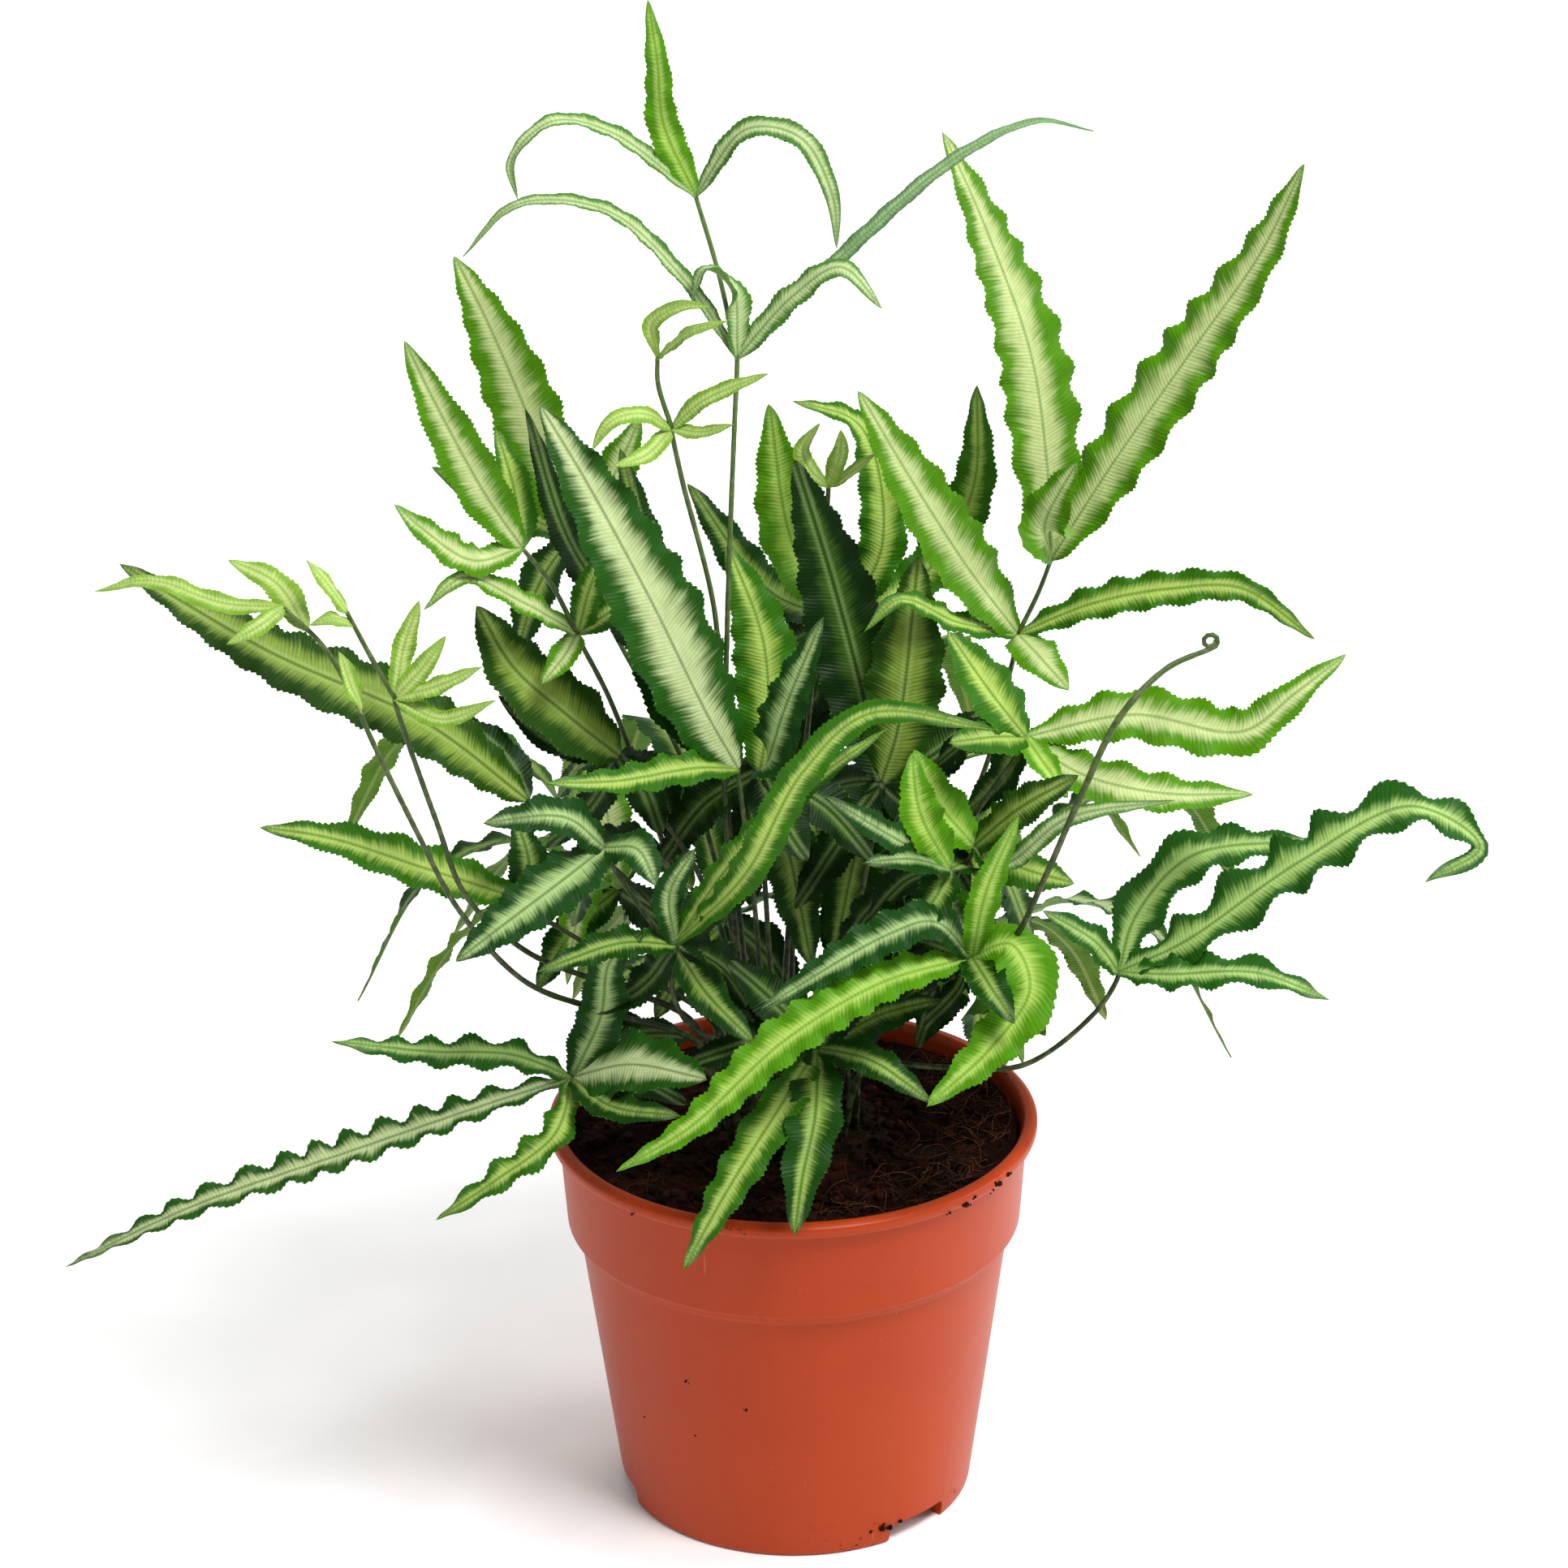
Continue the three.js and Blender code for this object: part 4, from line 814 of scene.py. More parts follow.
def leaflet(build, width, roll, twist, tone, wave, points, facing, draw):
    """A thin closed leaf: teeth and ruffles along its edges, a keel under its midrib."""
    length = curve(points)[1][-1]
    rows = max(int(length / ROW), 24)
    t = np.linspace(0, 1, rows + 1)
    s = t * length
    centre, along, side, up, length = leaf_frames(points, roll, twist, facing, t)
    half = width * np.sin(math.pi * t**0.75) ** 0.7 / 2
    half = np.where(t < 0.4, np.maximum(half, STALK_WIDTH / 2), half)
    half = np.maximum(half, 0.05)
    fullness = np.clip(half / (0.5 * width), 0, 1)
    pitch = draw.uniform(7.5, 11.5)
    sway = 0.085 * wave
    if wave > DEEP_WAVE:
        pitch, sway = 1.15 * width, 0.14 * wave
    phase = draw.uniform(0, 2 * math.pi, 2)
    slow = draw.uniform(0, 2 * math.pi, 2)
    drift = 0.9 * np.sin(s / 13 + slow[0]) + 0.5 * np.sin(s / 5.7 + slow[1])
    ruffle = [np.sin(2 * math.pi * s / pitch + phase[k] + drift) for k in (0, 1)]
    outline = [1 + sway * np.sin(2 * math.pi * s / pitch + phase[k] + drift + 1.1) for k in (0, 1)]
    tooth = (np.arange(rows + 1) % ROWS_A_TOOTH) / (ROWS_A_TOOTH - 1)
    uneven = np.random.RandomState(rows).uniform(0.5, 1.25, rows // ROWS_A_TOOTH + 1)
    uneven = np.repeat(uneven, ROWS_A_TOOTH)[: rows + 1]
    tooth = TOOTH_DEPTH * uneven * (tooth - 0.6) * np.clip((half - 1.4) / 2.6, 0, 1)
    fold = draw.uniform(0.05, 0.2)
    cup = draw.uniform(-0.5, 0.5)

    def sheet(across, sign):
        rows_of = []
        for a in across:
            k = 0 if a < 0 else 1
            reach = half * outline[k] ** abs(a) + (tooth if abs(a) == 1 else 0)
            lift = wave * abs(a) ** 1.7 * ruffle[k] * fullness**1.2
            lift = lift + fold * abs(a) * half + cup * a * a * fullness
            lift = lift + 0.10 * abs(a) * np.sin(2 * math.pi * (s - 0.4 * abs(a) * half) / 2.85) * fullness
            skin = sign * LEAF_SKIN * (1 - abs(a) ** 3)
            if sign < 0:
                skin = skin - KEEL * math.exp(-((a * width / 2 / 0.7) ** 2)) * fullness
            rise = np.broadcast_to(lift + skin, t.shape)
            rows_of.append(centre + side * (a * reach)[:, None] + up * rise[:, None])
        return np.stack(rows_of, axis=1)

    top, bottom = sheet(ACROSS, 1), sheet(BELOW, -1)
    wide = len(ACROSS) + len(BELOW)
    verts = np.concatenate([top, bottom], axis=1).reshape(-1, 3)
    tip = centre[-1] + along[-1] * 0.3
    verts = np.vstack([verts, tip])
    faces, kinds = [], []
    over = list(range(len(ACROSS)))
    under = [0] + [len(ACROSS) + k for k in range(len(BELOW))] + [len(ACROSS) - 1]
    for i in range(rows):
        a, b = i * wide, (i + 1) * wide
        for j in range(len(over) - 1):
            faces.append([a + over[j], a + over[j + 1], b + over[j + 1], b + over[j]])
            faces.append([a + under[j + 1], a + under[j], b + under[j], b + under[j + 1]])
        kinds += [0, 1] * (len(over) - 1)
    last = rows * wide
    point = len(verts) - 1
    for j in range(len(over) - 1):
        faces.append([last + over[j], last + over[j + 1], point])
        faces.append([last + under[j + 1], last + under[j], point])
    kinds += [0, 1] * (len(over) - 1)
    faces.append(over[::-1] + under[1:-1])
    kinds.append(1)

    across = np.tile(np.concatenate([ACROSS, BELOW]), rows + 1)
    leaf = np.stack([across, np.repeat(s, wide), np.repeat(half, wide)], axis=1)
    leaf = np.vstack([leaf, (0.0, length, 0.05)])
    green, silver, share = TONES[tone]
    tint = draw.uniform(0.9, 1.08)
    margin = (*[min(c * tint, 1.0) for c in linear(green)], share * draw.uniform(0.9, 1.1))
    band = (*[min(c * (1 + 0.5 * (tint - 1)), 1.0) for c in linear(silver)], draw.uniform(0, 1))
    edge = np.zeros(len(verts), bool)
    edge[np.arange(rows + 1) * wide] = True
    edge[np.arange(rows + 1) * wide + len(ACROSS) - 1] = True
    edge[point] = True
    build.add(verts, faces, kinds, leaf, margin, band, edge)


# ---------------------------------------------------------------- stems
STEM_RADII = (0.92, 0.78, 0.68, 0.62, 0.6)
MIDRIB_RADII = (0.62, 0.52)
CROZIER_RADII = (1.0, 0.85, 0.75, 0.7, 0.8, 0.55)
STEM_LOW = (26, 34, 14)
STEM_MIDDLE = (50, 68, 30)
STEM_HIGH = (88, 118, 52)


def stem_tones(heights):
    """Nearly black at the crown, grey-green above the leaves."""
    low, middle, high = (np.array(linear(c)) for c in (STEM_LOW, STEM_MIDDLE, STEM_HIGH))
    rise = np.clip((heights - 100) / 90, 0, 1)[:, None]
    more = np.clip((heights - 190) / 130, 0, 1)[:, None]
    tone = low * (1 - rise) + middle * rise
    tone = tone * (1 - more) + high * more
    return np.hstack([tone, np.ones((len(heights), 1))])


def add_stem(build, points, radii, seed):
    verts, faces = tube(points, radii, 12, 1.2, 0.05, seed)
    tones = stem_tones(verts[:, 2])
    build.add(verts, faces, [2] * len(faces), (0.0, 0.0, 1.0), tones, (0.0, 0.0, 0.0, 1.0), False)


def make_frond(index, frond):
    draw = np.random.RandomState(SEED + index)
    number = f"frond_{index:02d}"
    stipe = Build()
    node = frond["rachis"][0] if "rachis" in frond else frond["leaflets"][0][5][0]
    add_stem(stipe, frond["stem"] + [node], STEM_RADII, index)
    finish_piece(stipe.object(number + "_stem"), "stipe", number + "_stipe")
    blade = Build()
    foot = np.array(frond["stem"][-1], float)
    start = frond.get("rachis", [tuple(foot + 0.6 * (np.array(node) - foot)), node])
    add_stem(blade, start, MIDRIB_RADII, index + 50)
    for width, roll, twist, tone, wave, points in frond["leaflets"]:
        leaflet(blade, width, roll, twist, tone, wave, points, frond.get("facing", FACING), draw)
    inner = inner_leaflets(index, frond["leaflets"][0][5][0])
    for width, roll, twist, tone, wave, points in inner:
        leaflet(blade, width, roll, twist, tone, wave, points, FACING, draw)
    finish_piece(blade.object(number + "_leaves"), "leaf_blade", number + "_blade")


def back_frond(heading, reach, height, foot, tones):
    out = (math.cos(math.radians(heading)), math.sin(math.radians(heading)))

    def at(share, z):
        return tuple(foot[k] + share * (reach * out[k] - foot[k]) for k in (0, 1)) + (z,)

    node = at(1, height)
    lift = height - 100
    leaflets = []
    for k, (turn, length, rise, droop, width) in enumerate(BACK_LEAFLETS):
        angle = math.radians(heading + turn)
        points = []
        for t in (0, 0.35, 0.7, 1):
            away = length * t * (1 - 0.1 * t)
            up = rise * math.sin(t * 2.2) - droop * t * t
            x, y = away * math.cos(angle), away * math.sin(angle)
            points.append((node[0] + x, node[1] + y, node[2] + up))
        leaflets.append((width, 0, 0, tones[k % len(tones)], 0.9, points))
    stem = [at(0, 100), at(0.2, 100 + 0.35 * lift), at(0.6, 100 + 0.8 * lift), at(0.97, height - 1)]
    return {"stem": stem, "leaflets": leaflets, "facing": BACK_FACING}


BACK_TONES = [("leafy", "deep", "lime"), ("deep", "silver"), ("leafy", "fern"), ("deep", "leafy", "silver")]


# Small leaflets that fill the plant's middle, in dark tones as painted shade: frond number to the places of
# their tips.
INNER_TIPS = {
    10: [(-26, 0, 172), (-56, 6, 182)],
    11: [(-28, -16, 172), (-52, -20, 160)],
    12: [(-6, -22, 132), (-36, -16, 138), (-12, -10, 162)],
    13: [(-24, -10, 126), (-32, 4, 142)],
    14: [(16, -20, 152), (48, -16, 140), (30, -14, 124), (46, -10, 120), (60, -12, 128)],
    15: [(-16, -16, 142), (26, -12, 142), (4, -14, 116)],
    17: [(34, -2, 192), (66, -6, 186)],
    18: [(50, 0, 160), (58, -8, 148)],
    20: [(-10, 50, 188), (32, 52, 190), (0, 24, 176)],
    21: [(2, 18, 170), (40, 16, 170), (24, 22, 148), (10, 6, 136)],
    22: [(-26, 6, 174), (10, 4, 166), (-10, 4, 154), (5, 2, 138)],
    23: [(18, -20, 160), (46, -14, 166), (8, -6, 140)],
    25: [(-18, 12, 128), (-62, 4, 132)],
    26: [(2, 24, 116), (-34, 28, 112)],
    27: [(26, 26, 126), (0, 26, 140), (10, 22, 126)],
    28: [(32, 6, 116), (62, 4, 118), (28, 26, 112), (10, 22, 130)],
}
INNER_WIDTHS = (13, 11, 12, 14, 13)
# Mostly the painted-shade tones, dark for the shadow in the plant's middle.
INNER_TONES = ("painted_shade", "deep", "painted_shade", "deep", "blue")


def inner_leaflets(index, node):
    """Each one arches from the frond's first leaflets to its tip."""
    made = []
    for tip, width, tone in zip(INNER_TIPS.get(index, ()), INNER_WIDTHS, INNER_TONES):
        start, end = np.array(node, float), np.array(tip, float)
        middle = (start + end) / 2 + (0, 0, 0.12 * np.linalg.norm(end - start))
        made.append((width, 0, 0, tone, 0.9, [tuple(start), tuple(middle), tuple(end)]))
    return made


def make_fronds():
    fronds = FRONDS + [back_frond(*spec, tones) for spec, tones in zip(BACK_FRONDS, BACK_TONES)]
    for index, frond in enumerate(fronds, 1):
        make_frond(index, frond)


# The last young frond is still rolled up at the end of its long stem.
COIL_RADIUS = 1.9
COIL_TURNS = 1.25
COIL_POINTS = 8


def make_crozier():
    end = CROZIER_PATH[-1]
    coil = []
    for i in range(1, COIL_POINTS + 1):
        share = i / COIL_POINTS
        angle = share * COIL_TURNS * 2 * math.pi
        r = COIL_RADIUS * (1 - 0.35 * share)
        coil.append((end[0] + r * math.sin(angle), end[1], end[2] + COIL_RADIUS - r * math.cos(angle)))
    build = Build()
    add_stem(build, CROZIER_PATH + coil, CROZIER_RADII, 77)
    finish_piece(build.object("crozier_stem"), "stipe", "crozier")


# ---------------------------------------------------------------- pot
POT_HEIGHT = 100
LIP_RADIUS = 60
COLLAR_TOP_RADIUS = 57.5
COLLAR_BASE_RADIUS = 55.8
COLLAR_BASE_Z = 73
SHOULDER_RADIUS = 53
SHOULDER_Z = 70.5
BASE_RADIUS = 43.5
WALL = 1.4
FLOOR_Z = 6
PAD_RADIUS = 14
NOTCH_ANGLES = (-47, 73, 193)
HOLES = 8
# (radius, height, rounding) from the middle of the underside, up the outside and down the inside.
POT_PROFILE = [
    (PAD_RADIUS, 0, 0.4),
    (PAD_RADIUS + 2.5, FLOOR_Z, 0.6),
    (BASE_RADIUS - 4, FLOOR_Z, 0.6),
    (BASE_RADIUS - 3, 0, 0.4),
    (BASE_RADIUS, 0, 1.2),
    (SHOULDER_RADIUS, SHOULDER_Z, 1.0),
    (COLLAR_BASE_RADIUS, COLLAR_BASE_Z, 0.8),
    (COLLAR_TOP_RADIUS, POT_HEIGHT - 3.8, 0.3),
    (LIP_RADIUS - 0.5, POT_HEIGHT - 3.6, 0.4),
    (LIP_RADIUS, POT_HEIGHT - 2.6, 0.5),
    (LIP_RADIUS, POT_HEIGHT - 1.0, 0.8),
    (LIP_RADIUS - 1.6, POT_HEIGHT, 0.7),
    (COLLAR_TOP_RADIUS - 0.6, POT_HEIGHT - 0.2, 0.6),
    (COLLAR_TOP_RADIUS - WALL, POT_HEIGHT - 2, 0.8),
    (COLLAR_BASE_RADIUS - WALL, COLLAR_BASE_Z + 1, 0.8),
    (SHOULDER_RADIUS - WALL, SHOULDER_Z - 0.5, 0.8),
    (BASE_RADIUS - WALL, FLOOR_Z + WALL + 1.5, 0.8),
    (BASE_RADIUS - WALL - 1.5, FLOOR_Z + WALL, 0.8),
    (PAD_RADIUS + 3, FLOOR_Z + WALL, 0.6),
    (PAD_RADIUS + 0.5, WALL, 0.5),
]
POT_SEGMENTS = 192


def rounded(profile, steps=4):
    """The profile with each corner replaced by a short arc."""
    out = []
    n = len(profile)
    for i, (x, z, r) in enumerate(profile):
        here = np.array((x, z), float)
        if i in (0, n - 1):
            out.append(here)
            continue
        before, after = np.array(profile[i - 1][:2], float), np.array(profile[i + 1][:2], float)
        reach = min(r, 0.42 * np.linalg.norm(before - here), 0.42 * np.linalg.norm(after - here))
        p = here + (before - here) / np.linalg.norm(before - here) * reach
        q = here + (after - here) / np.linalg.norm(after - here) * reach
        for k in range(steps + 1):
            t = k / steps
            out.append(p * (1 - t) ** 2 + 2 * here * t * (1 - t) + q * t * t)
    return out


def lathe(name, profile, segments, materials):
    verts = [(0, 0, profile[0][1])]
    faces = []
    for r, z in profile:
        for k in range(segments):
            angle = 2 * math.pi * k / segments
            verts.append((r * math.cos(angle), r * math.sin(angle), z))
    verts.append((0, 0, profile[-1][1]))
    rows = len(profile)
    for k in range(segments):
        n = (k + 1) % segments
        faces.append([0, 1 + n, 1 + k])
        for i in range(rows - 1):
            a, b = 1 + i * segments, 1 + (i + 1) * segments
            faces.append([a + k, a + n, b + n, b + k])
        top = 1 + (rows - 1) * segments
        faces.append([top + k, top + n, len(verts) - 1])
    return new_object(name, verts, faces, materials)


def cutter_box(width, depth, height, radius, angle):
    """A box with rounded upper corners, across the foot ring at an angle."""
    outline = []
    corner = 1.6
    for cx, start in ((width / 2 - corner, 0), (corner - width / 2, 90)):
        for k in range(5):
            a = math.radians(start + 22.5 * k)
            outline.append((cx + corner * math.cos(a), height - corner + corner * math.sin(a)))
    outline += [(-width / 2, -4), (width / 2, -4)]
    verts = []
    turn = math.radians(angle)
    for out in (radius - depth, radius + depth):
        for y, z in outline:
            x_turned = out * math.cos(turn) - y * math.sin(turn)
            y_turned = out * math.sin(turn) + y * math.cos(turn)
            verts.append((x_turned, y_turned, z))
    n = len(outline)
    faces = [list(range(n))[::-1], [n + k for k in range(n)]]
    for k in range(n):
        m = (k + 1) % n
        faces.append([k, m, m + n, k + n])
    return verts, faces


def cutter_hole(x, y, radius, low, high, sides=28):
    verts = []
    for z in (low, high):
        for k in range(sides):
            a = 2 * math.pi * k / sides
            verts.append((x + radius * math.cos(a), y + radius * math.sin(a), z))
    faces = [list(range(sides))[::-1], [sides + k for k in range(sides)]]
    for k in range(sides):
        m = (k + 1) % sides
        faces.append([k, m, m + sides, k + sides])
    return verts, faces


def make_pot():
    pot = lathe("pot_shell", rounded(POT_PROFILE), POT_SEGMENTS, [POT_PLASTIC])
    cuts = [cutter_box(18, 8, 5, BASE_RADIUS, angle) for angle in NOTCH_ANGLES]
    for i in range(HOLES):
        a = (i + 0.5) * 2 * math.pi / HOLES
        cuts.append(cutter_hole(28 * math.cos(a), 28 * math.sin(a), 3.2, FLOOR_Z - 3, FLOOR_Z + 6))
    verts, faces = [], []
    for v, f in cuts:
        faces += [[k + len(verts) for k in face] for face in f]
        verts += v
    cutter = new_object("pot_cutter", verts, faces, [POT_PLASTIC])
    boolean = pot.modifiers.new("cut", "BOOLEAN")
    boolean.operation = "DIFFERENCE"
    boolean.solver = "EXACT"
    boolean.object = cutter
    bpy.context.view_layer.update()
    graph = bpy.context.evaluated_depsgraph_get()
    mesh = bpy.data.meshes.new_from_object(pot.evaluated_get(graph))
    pot.modifiers.clear()
    pot.data = mesh
    bpy.data.objects.remove(cutter)
    mesh.set_sharp_from_angle(angle=math.radians(38))
    finish_piece(pot, "terracotta_plastic", "pot")


# ---------------------------------------------------------------- soil and crown
SOIL_EDGE_Z = 94
# (wavelength, height) of the ripples in each surface.
SOIL_WAVES = ((23, 0.55), (9, 0.4), (4.1, 0.3), (2.2, 0.16))
CROWN_WAVES = ((7, 0.5), (3, 0.3))
CROWN_RADIUS = 24


def lumps(x, y, draw, waves):
    """A sum of random ripples, for uneven ground."""
    total = np.zeros_like(x)
    for wavelength, height in waves:
        for _ in range(5):
            turn, shift = draw.uniform(0, 2 * math.pi, 2)
            along = x * math.cos(turn) + y * math.sin(turn)
            total = total + height * np.sin(2 * math.pi * along / wavelength + shift) / 2.2
    return total


def ground(x, y):
    """Height of the potting mix: a little higher at the right of the pot and in the middle."""
    r = np.hypot(x, y)
    draw = np.random.RandomState(SEED + 400)
    rise = 1.6 * np.clip(x / 50, 0, 1) * np.clip(r / 50, 0, 1)
    dome = 1.6 * np.clip(1 - r / 54, 0, 1)
    edge = np.clip((54.6 - r) / 3, 0, 1)
    return SOIL_EDGE_Z + dome + rise + edge * lumps(x, y, draw, SOIL_WAVES)


def chunk_shapes():
    """Rough grain shapes: an icosphere's vertices pushed about."""
    ball = bmesh.new()
    bmesh.ops.create_icosphere(ball, subdivisions=2, radius=1.0)
    verts = np.array([v.co for v in ball.verts])
    faces = [[v.index for v in f.verts] for f in ball.faces]
    ball.free()
    draw = np.random.RandomState(SEED + 401)
    shapes = []
    for _ in range(14):
        push = np.ones(len(verts))
        for _ in range(7):
            facet = draw.normal(size=3)
            facet /= np.linalg.norm(facet)
            push = np.minimum(push, draw.uniform(0.62, 0.95) / np.maximum(verts @ facet, 0.05))
        shapes.append(verts * push[:, None] * draw.uniform(0.92, 1.08, (len(verts), 1)))
    return shapes, faces


def random_turn(draw):
    axis = draw.normal(size=3)
    return np.array(Matrix.Rotation(draw.uniform(0, 2 * math.pi), 3, Vector(axis)))


class Heap:
    """Collects loose grains and fibres with a tone for each."""

    def __init__(self):
        self.verts, self.faces, self.tones, self.count = [], [], [], 0

    def add(self, verts, faces, tone):
        self.faces += [[k + self.count for k in face] for face in faces]
        self.verts.append(verts)
        self.tones.append(np.full(len(verts), tone))
        self.count += len(verts)

    def object(self, name, material):
        tones = np.concatenate(self.tones)
        attributes = [("tone", "FLOAT", tones)]
        return new_object(name, np.vstack(self.verts), self.faces, [material], None, attributes)


def mound(middle_z, radius, rings, sectors, surface, skirt):
    """A closed body: an uneven top made of rings, then rings of (radius, height) down to a flat base."""
    a = np.arange(sectors) * 2 * math.pi / sectors
    verts = [(0, 0, middle_z)]
    for i in range(1, rings + 1):
        r = radius * i / rings
        x, y = r * np.cos(a), r * np.sin(a)
        verts += list(zip(x, y, surface(x, y, i / rings)))
    for r, z in skirt:
        verts += list(zip(r * np.cos(a), r * np.sin(a), np.full(sectors, z)))
    verts.append((0, 0, skirt[-1][1]))
    last = rings + len(skirt) - 1
    faces = []
    for k in range(sectors):
        n = (k + 1) % sectors
        faces.append([0, 1 + k, 1 + n])
        for i in range(last):
            p, q = 1 + i * sectors, 1 + (i + 1) * sectors
            faces.append([p + n, p + k, q + k, q + n])
        q = 1 + last * sectors
        faces.append([q + n, q + k, len(verts) - 1])
    return np.array(verts, float), faces


SOIL_RADIUS = 54.9
SOIL_SKIRT = ((51.2, 70.0), (41.5, 7.8))
CHUNKS = 1700
CHUNK_REACH = 53.2


def make_soil():
    draw = np.random.RandomState(SEED + 402)
    heap = Heap()
    middle = float(ground(np.array(0.0), np.array(0.0)))
    bed = mound(middle, SOIL_RADIUS, 64, 220, lambda x, y, share: ground(x, y), SOIL_SKIRT)
    heap.add(*bed, 0.25)
    shapes, chunk_faces = chunk_shapes()
    for _ in range(CHUNKS):
        r, a = CHUNK_REACH * math.sqrt(draw.uniform()), draw.uniform(0, 2 * math.pi)
        size = 0.4 + 1.9 * draw.uniform() ** 3
        stretch = np.array((1.0, draw.uniform(0.5, 1.0), draw.uniform(0.3, 0.75)))
        r = min(r, 54.0 - size)
        x, y = r * math.cos(a), r * math.sin(a)
        z = float(ground(np.array(x), np.array(y))) + 0.25 * size
        shape = shapes[draw.randint(len(shapes))] * stretch * size
        heap.add(shape @ random_turn(draw).T + (x, y, z), chunk_faces, draw.uniform(0, 1) ** 2)
    soil = heap.object("soil_bed", SOIL_MIX)
    finish_piece(soil, "potting_mix", "soil")


FIBRES = 360
WALL_FIBRES = 210
FIBRE_LIMIT = 53.4
FIBRE_TOP_Z = 100.5


def make_fibres():
    """Coir strands, lying on the mix and standing up against the wall at the right."""
    draw = np.random.RandomState(SEED + 403)
    heap = Heap()
    for i in range(FIBRES):
        near_wall = i < WALL_FIBRES
        if near_wall:
            a = math.radians(draw.uniform(-75, 40))
            r = draw.uniform(38, 53)
        else:
            a = draw.uniform(0, 2 * math.pi)
            r = 52 * math.sqrt(draw.uniform())
        x, y = r * math.cos(a), r * math.sin(a)
        z = float(ground(np.array(x), np.array(y)))
        heading = draw.uniform(0, 2 * math.pi)
        length = draw.uniform(4, 14)
        steep = draw.uniform(0.0, 0.5) if near_wall else draw.uniform(0, 0.2)
        points = []
        for t in (0, 0.35, 0.7, 1):
            heading += draw.uniform(-0.7, 0.7)
            px = x + length * t * math.cos(heading)
            py = y + length * t * math.sin(heading)
            pr = math.hypot(px, py)
            if pr > FIBRE_LIMIT:
                px, py = px * FIBRE_LIMIT / pr, py * FIBRE_LIMIT / pr
            bed = float(ground(np.array(px), np.array(py)))
            high = max(bed, z) + 0.25 + length * steep * math.sin(t * 2.4)
            points.append((px, py, min(high, FIBRE_TOP_Z)))
        if np.linalg.norm(np.array(points[0]) - points[-1]) < 1.5:
            continue
        thin = draw.uniform(0.06, 0.15)
        verts, faces = tube(points, (thin, thin, thin * 0.5), 5, 0.9)
        heap.add(verts, faces, draw.uniform(0, 1))
    finish_piece(heap.object("coir_fibres", FIBRE_MIX), "potting_mix")


CROWN_TOP_Z = 98.6
CROWN_SKIRT = ((19, 90.2),)
CROWN_SCALES = 240
STUBS = 22


def crown_surface(x, y, share):
    fall = CROWN_TOP_Z - 3.4 * share**3
    return fall + lumps(x, y, np.random.RandomState(SEED + 405), CROWN_WAVES)


def make_crown():
    """A knobbly mound of old stem bases and scales, with the fronds rising from it."""
    draw = np.random.RandomState(SEED + 404)
    heap = Heap()
    shapes, faces = chunk_shapes()
    heap.add(*mound(CROWN_TOP_Z, CROWN_RADIUS - 0.4, 26, 90, crown_surface, CROWN_SKIRT), 0.3)
    for _ in range(CROWN_SCALES):
        r, a = 21 * math.sqrt(draw.uniform()), draw.uniform(0, 2 * math.pi)
        x, y = r * math.cos(a), r * math.sin(a)
        size = draw.uniform(0.7, 1.9)
        shape = shapes[draw.randint(len(shapes))] * np.array((0.45, 0.45, 1.0)) * size
        lean = Matrix.Rotation(0.7 * r / 21, 3, Vector((-math.sin(a), math.cos(a), 0)))
        z = 98.2 - 2.4 * (r / 23) ** 3
        heap.add(shape @ np.array(lean).T + (x, y, z), faces, draw.uniform(0, 1) ** 1.5)
    for _ in range(STUBS):
        r, a = draw.uniform(4, 20), draw.uniform(0, 2 * math.pi)
        x, y = r * math.cos(a), r * math.sin(a)
        tall = draw.uniform(3, 9)
        lean = draw.uniform(0.1, 0.4)
        points = [(x, y, 96.5), (x * (1 + lean / 4), y * (1 + lean / 4), 98 + tall / 2)]
        points.append((x * (1 + lean / 2), y * (1 + lean / 2), 98 + tall))
        verts, stub_faces = tube(points, (1.1, 0.85, 0.7), 8, 1.0, 0.08, draw.randint(999))
        heap.add(verts, stub_faces, draw.uniform(0.1, 0.6))
    finish_piece(heap.object("rhizome_mound", CROWN_MIX), "crown_fibre", "rhizome_crown")


# Soil crumbs that cling to the pot: (angle from +X in degrees, height, size).
CRUMBS = [
    (-35, 97.6, 1.3), (-38, 96.2, 0.9), (-31, 98.2, 1.0), (-47, 97.0, 1.2), (-44, 97.9, 0.7),
    (-52, 96.6, 0.6), (-108, 72.2, 0.7), (-105, 71.9, 0.9), (-102, 72.1, 0.6), (-104, 44, 0.55),
    (-122, 49, 0.6), (-121, 33, 0.35),
    (-141, 32, 0.4), (-62, 5.2, 1.5), (-59, 4.6, 1.2), (-55, 5.4, 0.9), (-66, 4.9, 0.7), (-130, 96.5, 0.6),
    (60, 97.2, 0.9), (120, 72.2, 0.8), (150, 97.5, 1.0), (200, 72.0, 0.8), (12, 72.0, 0.6), (85, 30, 0.5),
]


def pot_radius(z):
    if z > POT_HEIGHT - 3.6:
        return LIP_RADIUS
    if z > COLLAR_BASE_Z:
        share = (z - COLLAR_BASE_Z) / (POT_HEIGHT - 3.8 - COLLAR_BASE_Z)
        return COLLAR_BASE_RADIUS + share * (COLLAR_TOP_RADIUS - COLLAR_BASE_RADIUS)
    share = min(z / SHOULDER_Z, 1)
    return BASE_RADIUS + share * (SHOULDER_RADIUS - BASE_RADIUS)


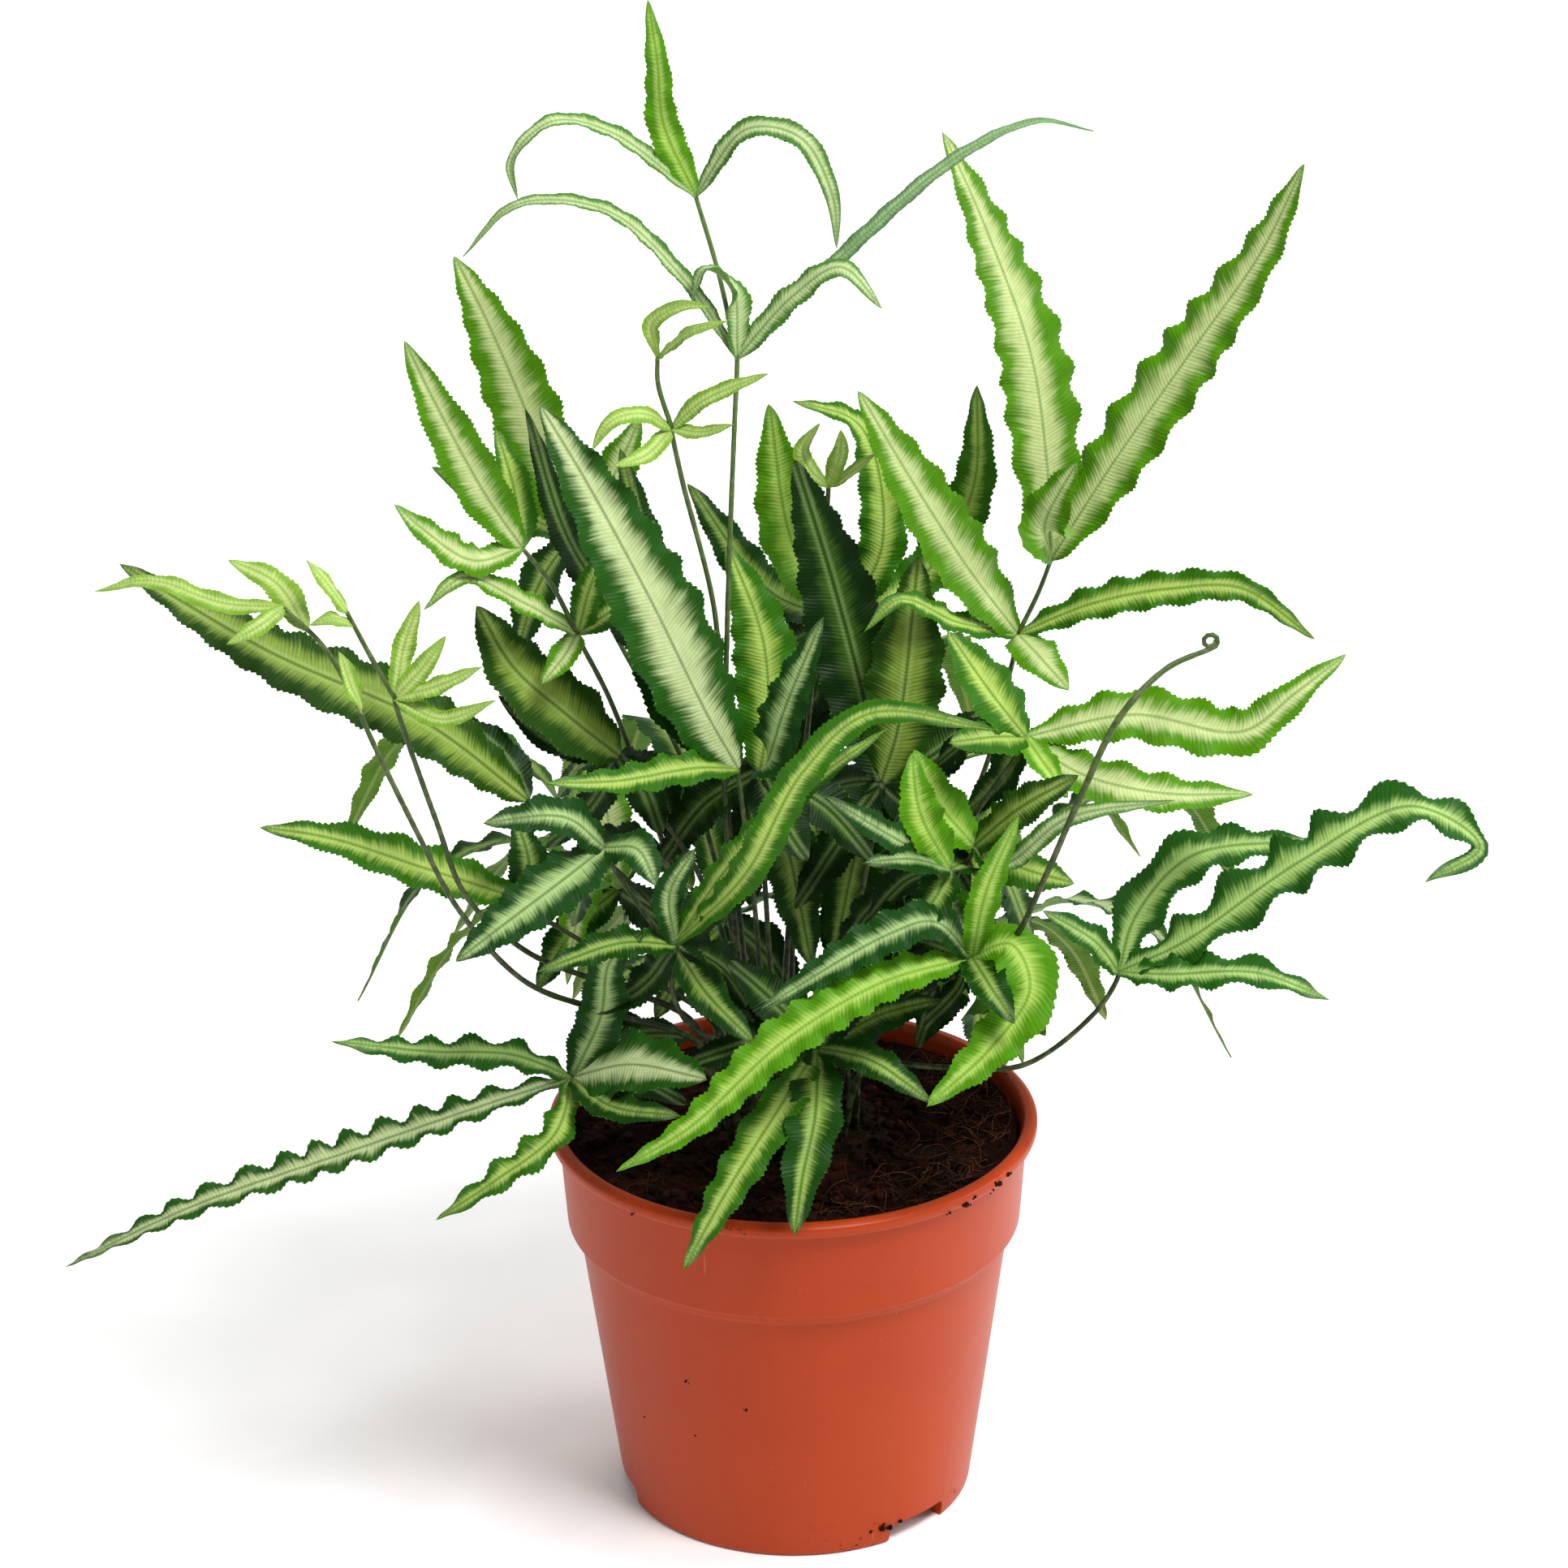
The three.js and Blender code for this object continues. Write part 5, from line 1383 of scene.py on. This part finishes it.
def make_crumbs():
    draw = np.random.RandomState(SEED + 406)
    heap = Heap()
    shapes, faces = chunk_shapes()
    for angle, z, size in CRUMBS:
        for k in range(3):
            spread = 0 if k == 0 else size * 1.6
            a = math.radians(angle + draw.uniform(-1, 1) * spread)
            high = z + draw.uniform(-0.5, 0.5) * spread
            small = size * (1 if k == 0 else draw.uniform(0.3, 0.6)) * 0.62
            r = pot_radius(high) + 0.15 * small
            shape = shapes[draw.randint(len(shapes))] * small
            place = (r * math.cos(a), r * math.sin(a), high)
            heap.add(shape @ random_turn(draw).T + place, faces, draw.uniform(0, 0.5))
    finish_piece(heap.object("soil_crumbs", SOIL_MIX), "potting_mix")


# ---------------------------------------------------------------- studio
def make_floor():
    steps, reach = 24, 3000.0
    line = np.linspace(-reach, reach, steps + 1)
    verts = [(x, y, -0.05) for y in line for x in line]
    faces = []
    for i in range(steps):
        for k in range(steps):
            a = i * (steps + 1) + k
            faces.append([a, a + 1, a + steps + 2, a + steps + 1])
    new_object("studio_floor", verts, faces, [FLOOR_WHITE])


def area_light(name, place, target, size, power):
    data = bpy.data.lights.new(name, "AREA")
    data.shape = "DISK"
    data.size = size
    data.energy = power
    light = bpy.data.objects.new(name, data)
    bpy.context.scene.collection.objects.link(light)
    light.location = place
    light.rotation_euler = (Vector(target) - Vector(place)).to_track_quat("-Z", "Y").to_euler()


def make_studio():
    make_floor()
    area_light("key", (0.55, -0.75, 1.7), (0, 0, 0.15), 0.6, 30)
    area_light("side", (1.3, 0.2, 0.6), (0, 0, 0.12), 0.8, 9)
    area_light("fill", (-1.3, -0.9, 0.8), (0, 0, 0.12), 1.0, 1.2)
    area_light("backdrop", (0, 1.15, 1.6), (0, 1.15, 0), 1.5, 16)
    world = bpy.data.worlds.new("studio")
    world.use_nodes = True
    world.node_tree.nodes["Background"].inputs[0].default_value = (1, 1, 1, 1)
    world.node_tree.nodes["Background"].inputs[1].default_value = 0.42
    scene = bpy.context.scene
    scene.world = world
    scene.view_settings.view_transform = "Standard"


make_studio()
make_pot()
make_soil()
make_fibres()
make_crown()
make_crumbs()
make_fronds()
make_crozier()
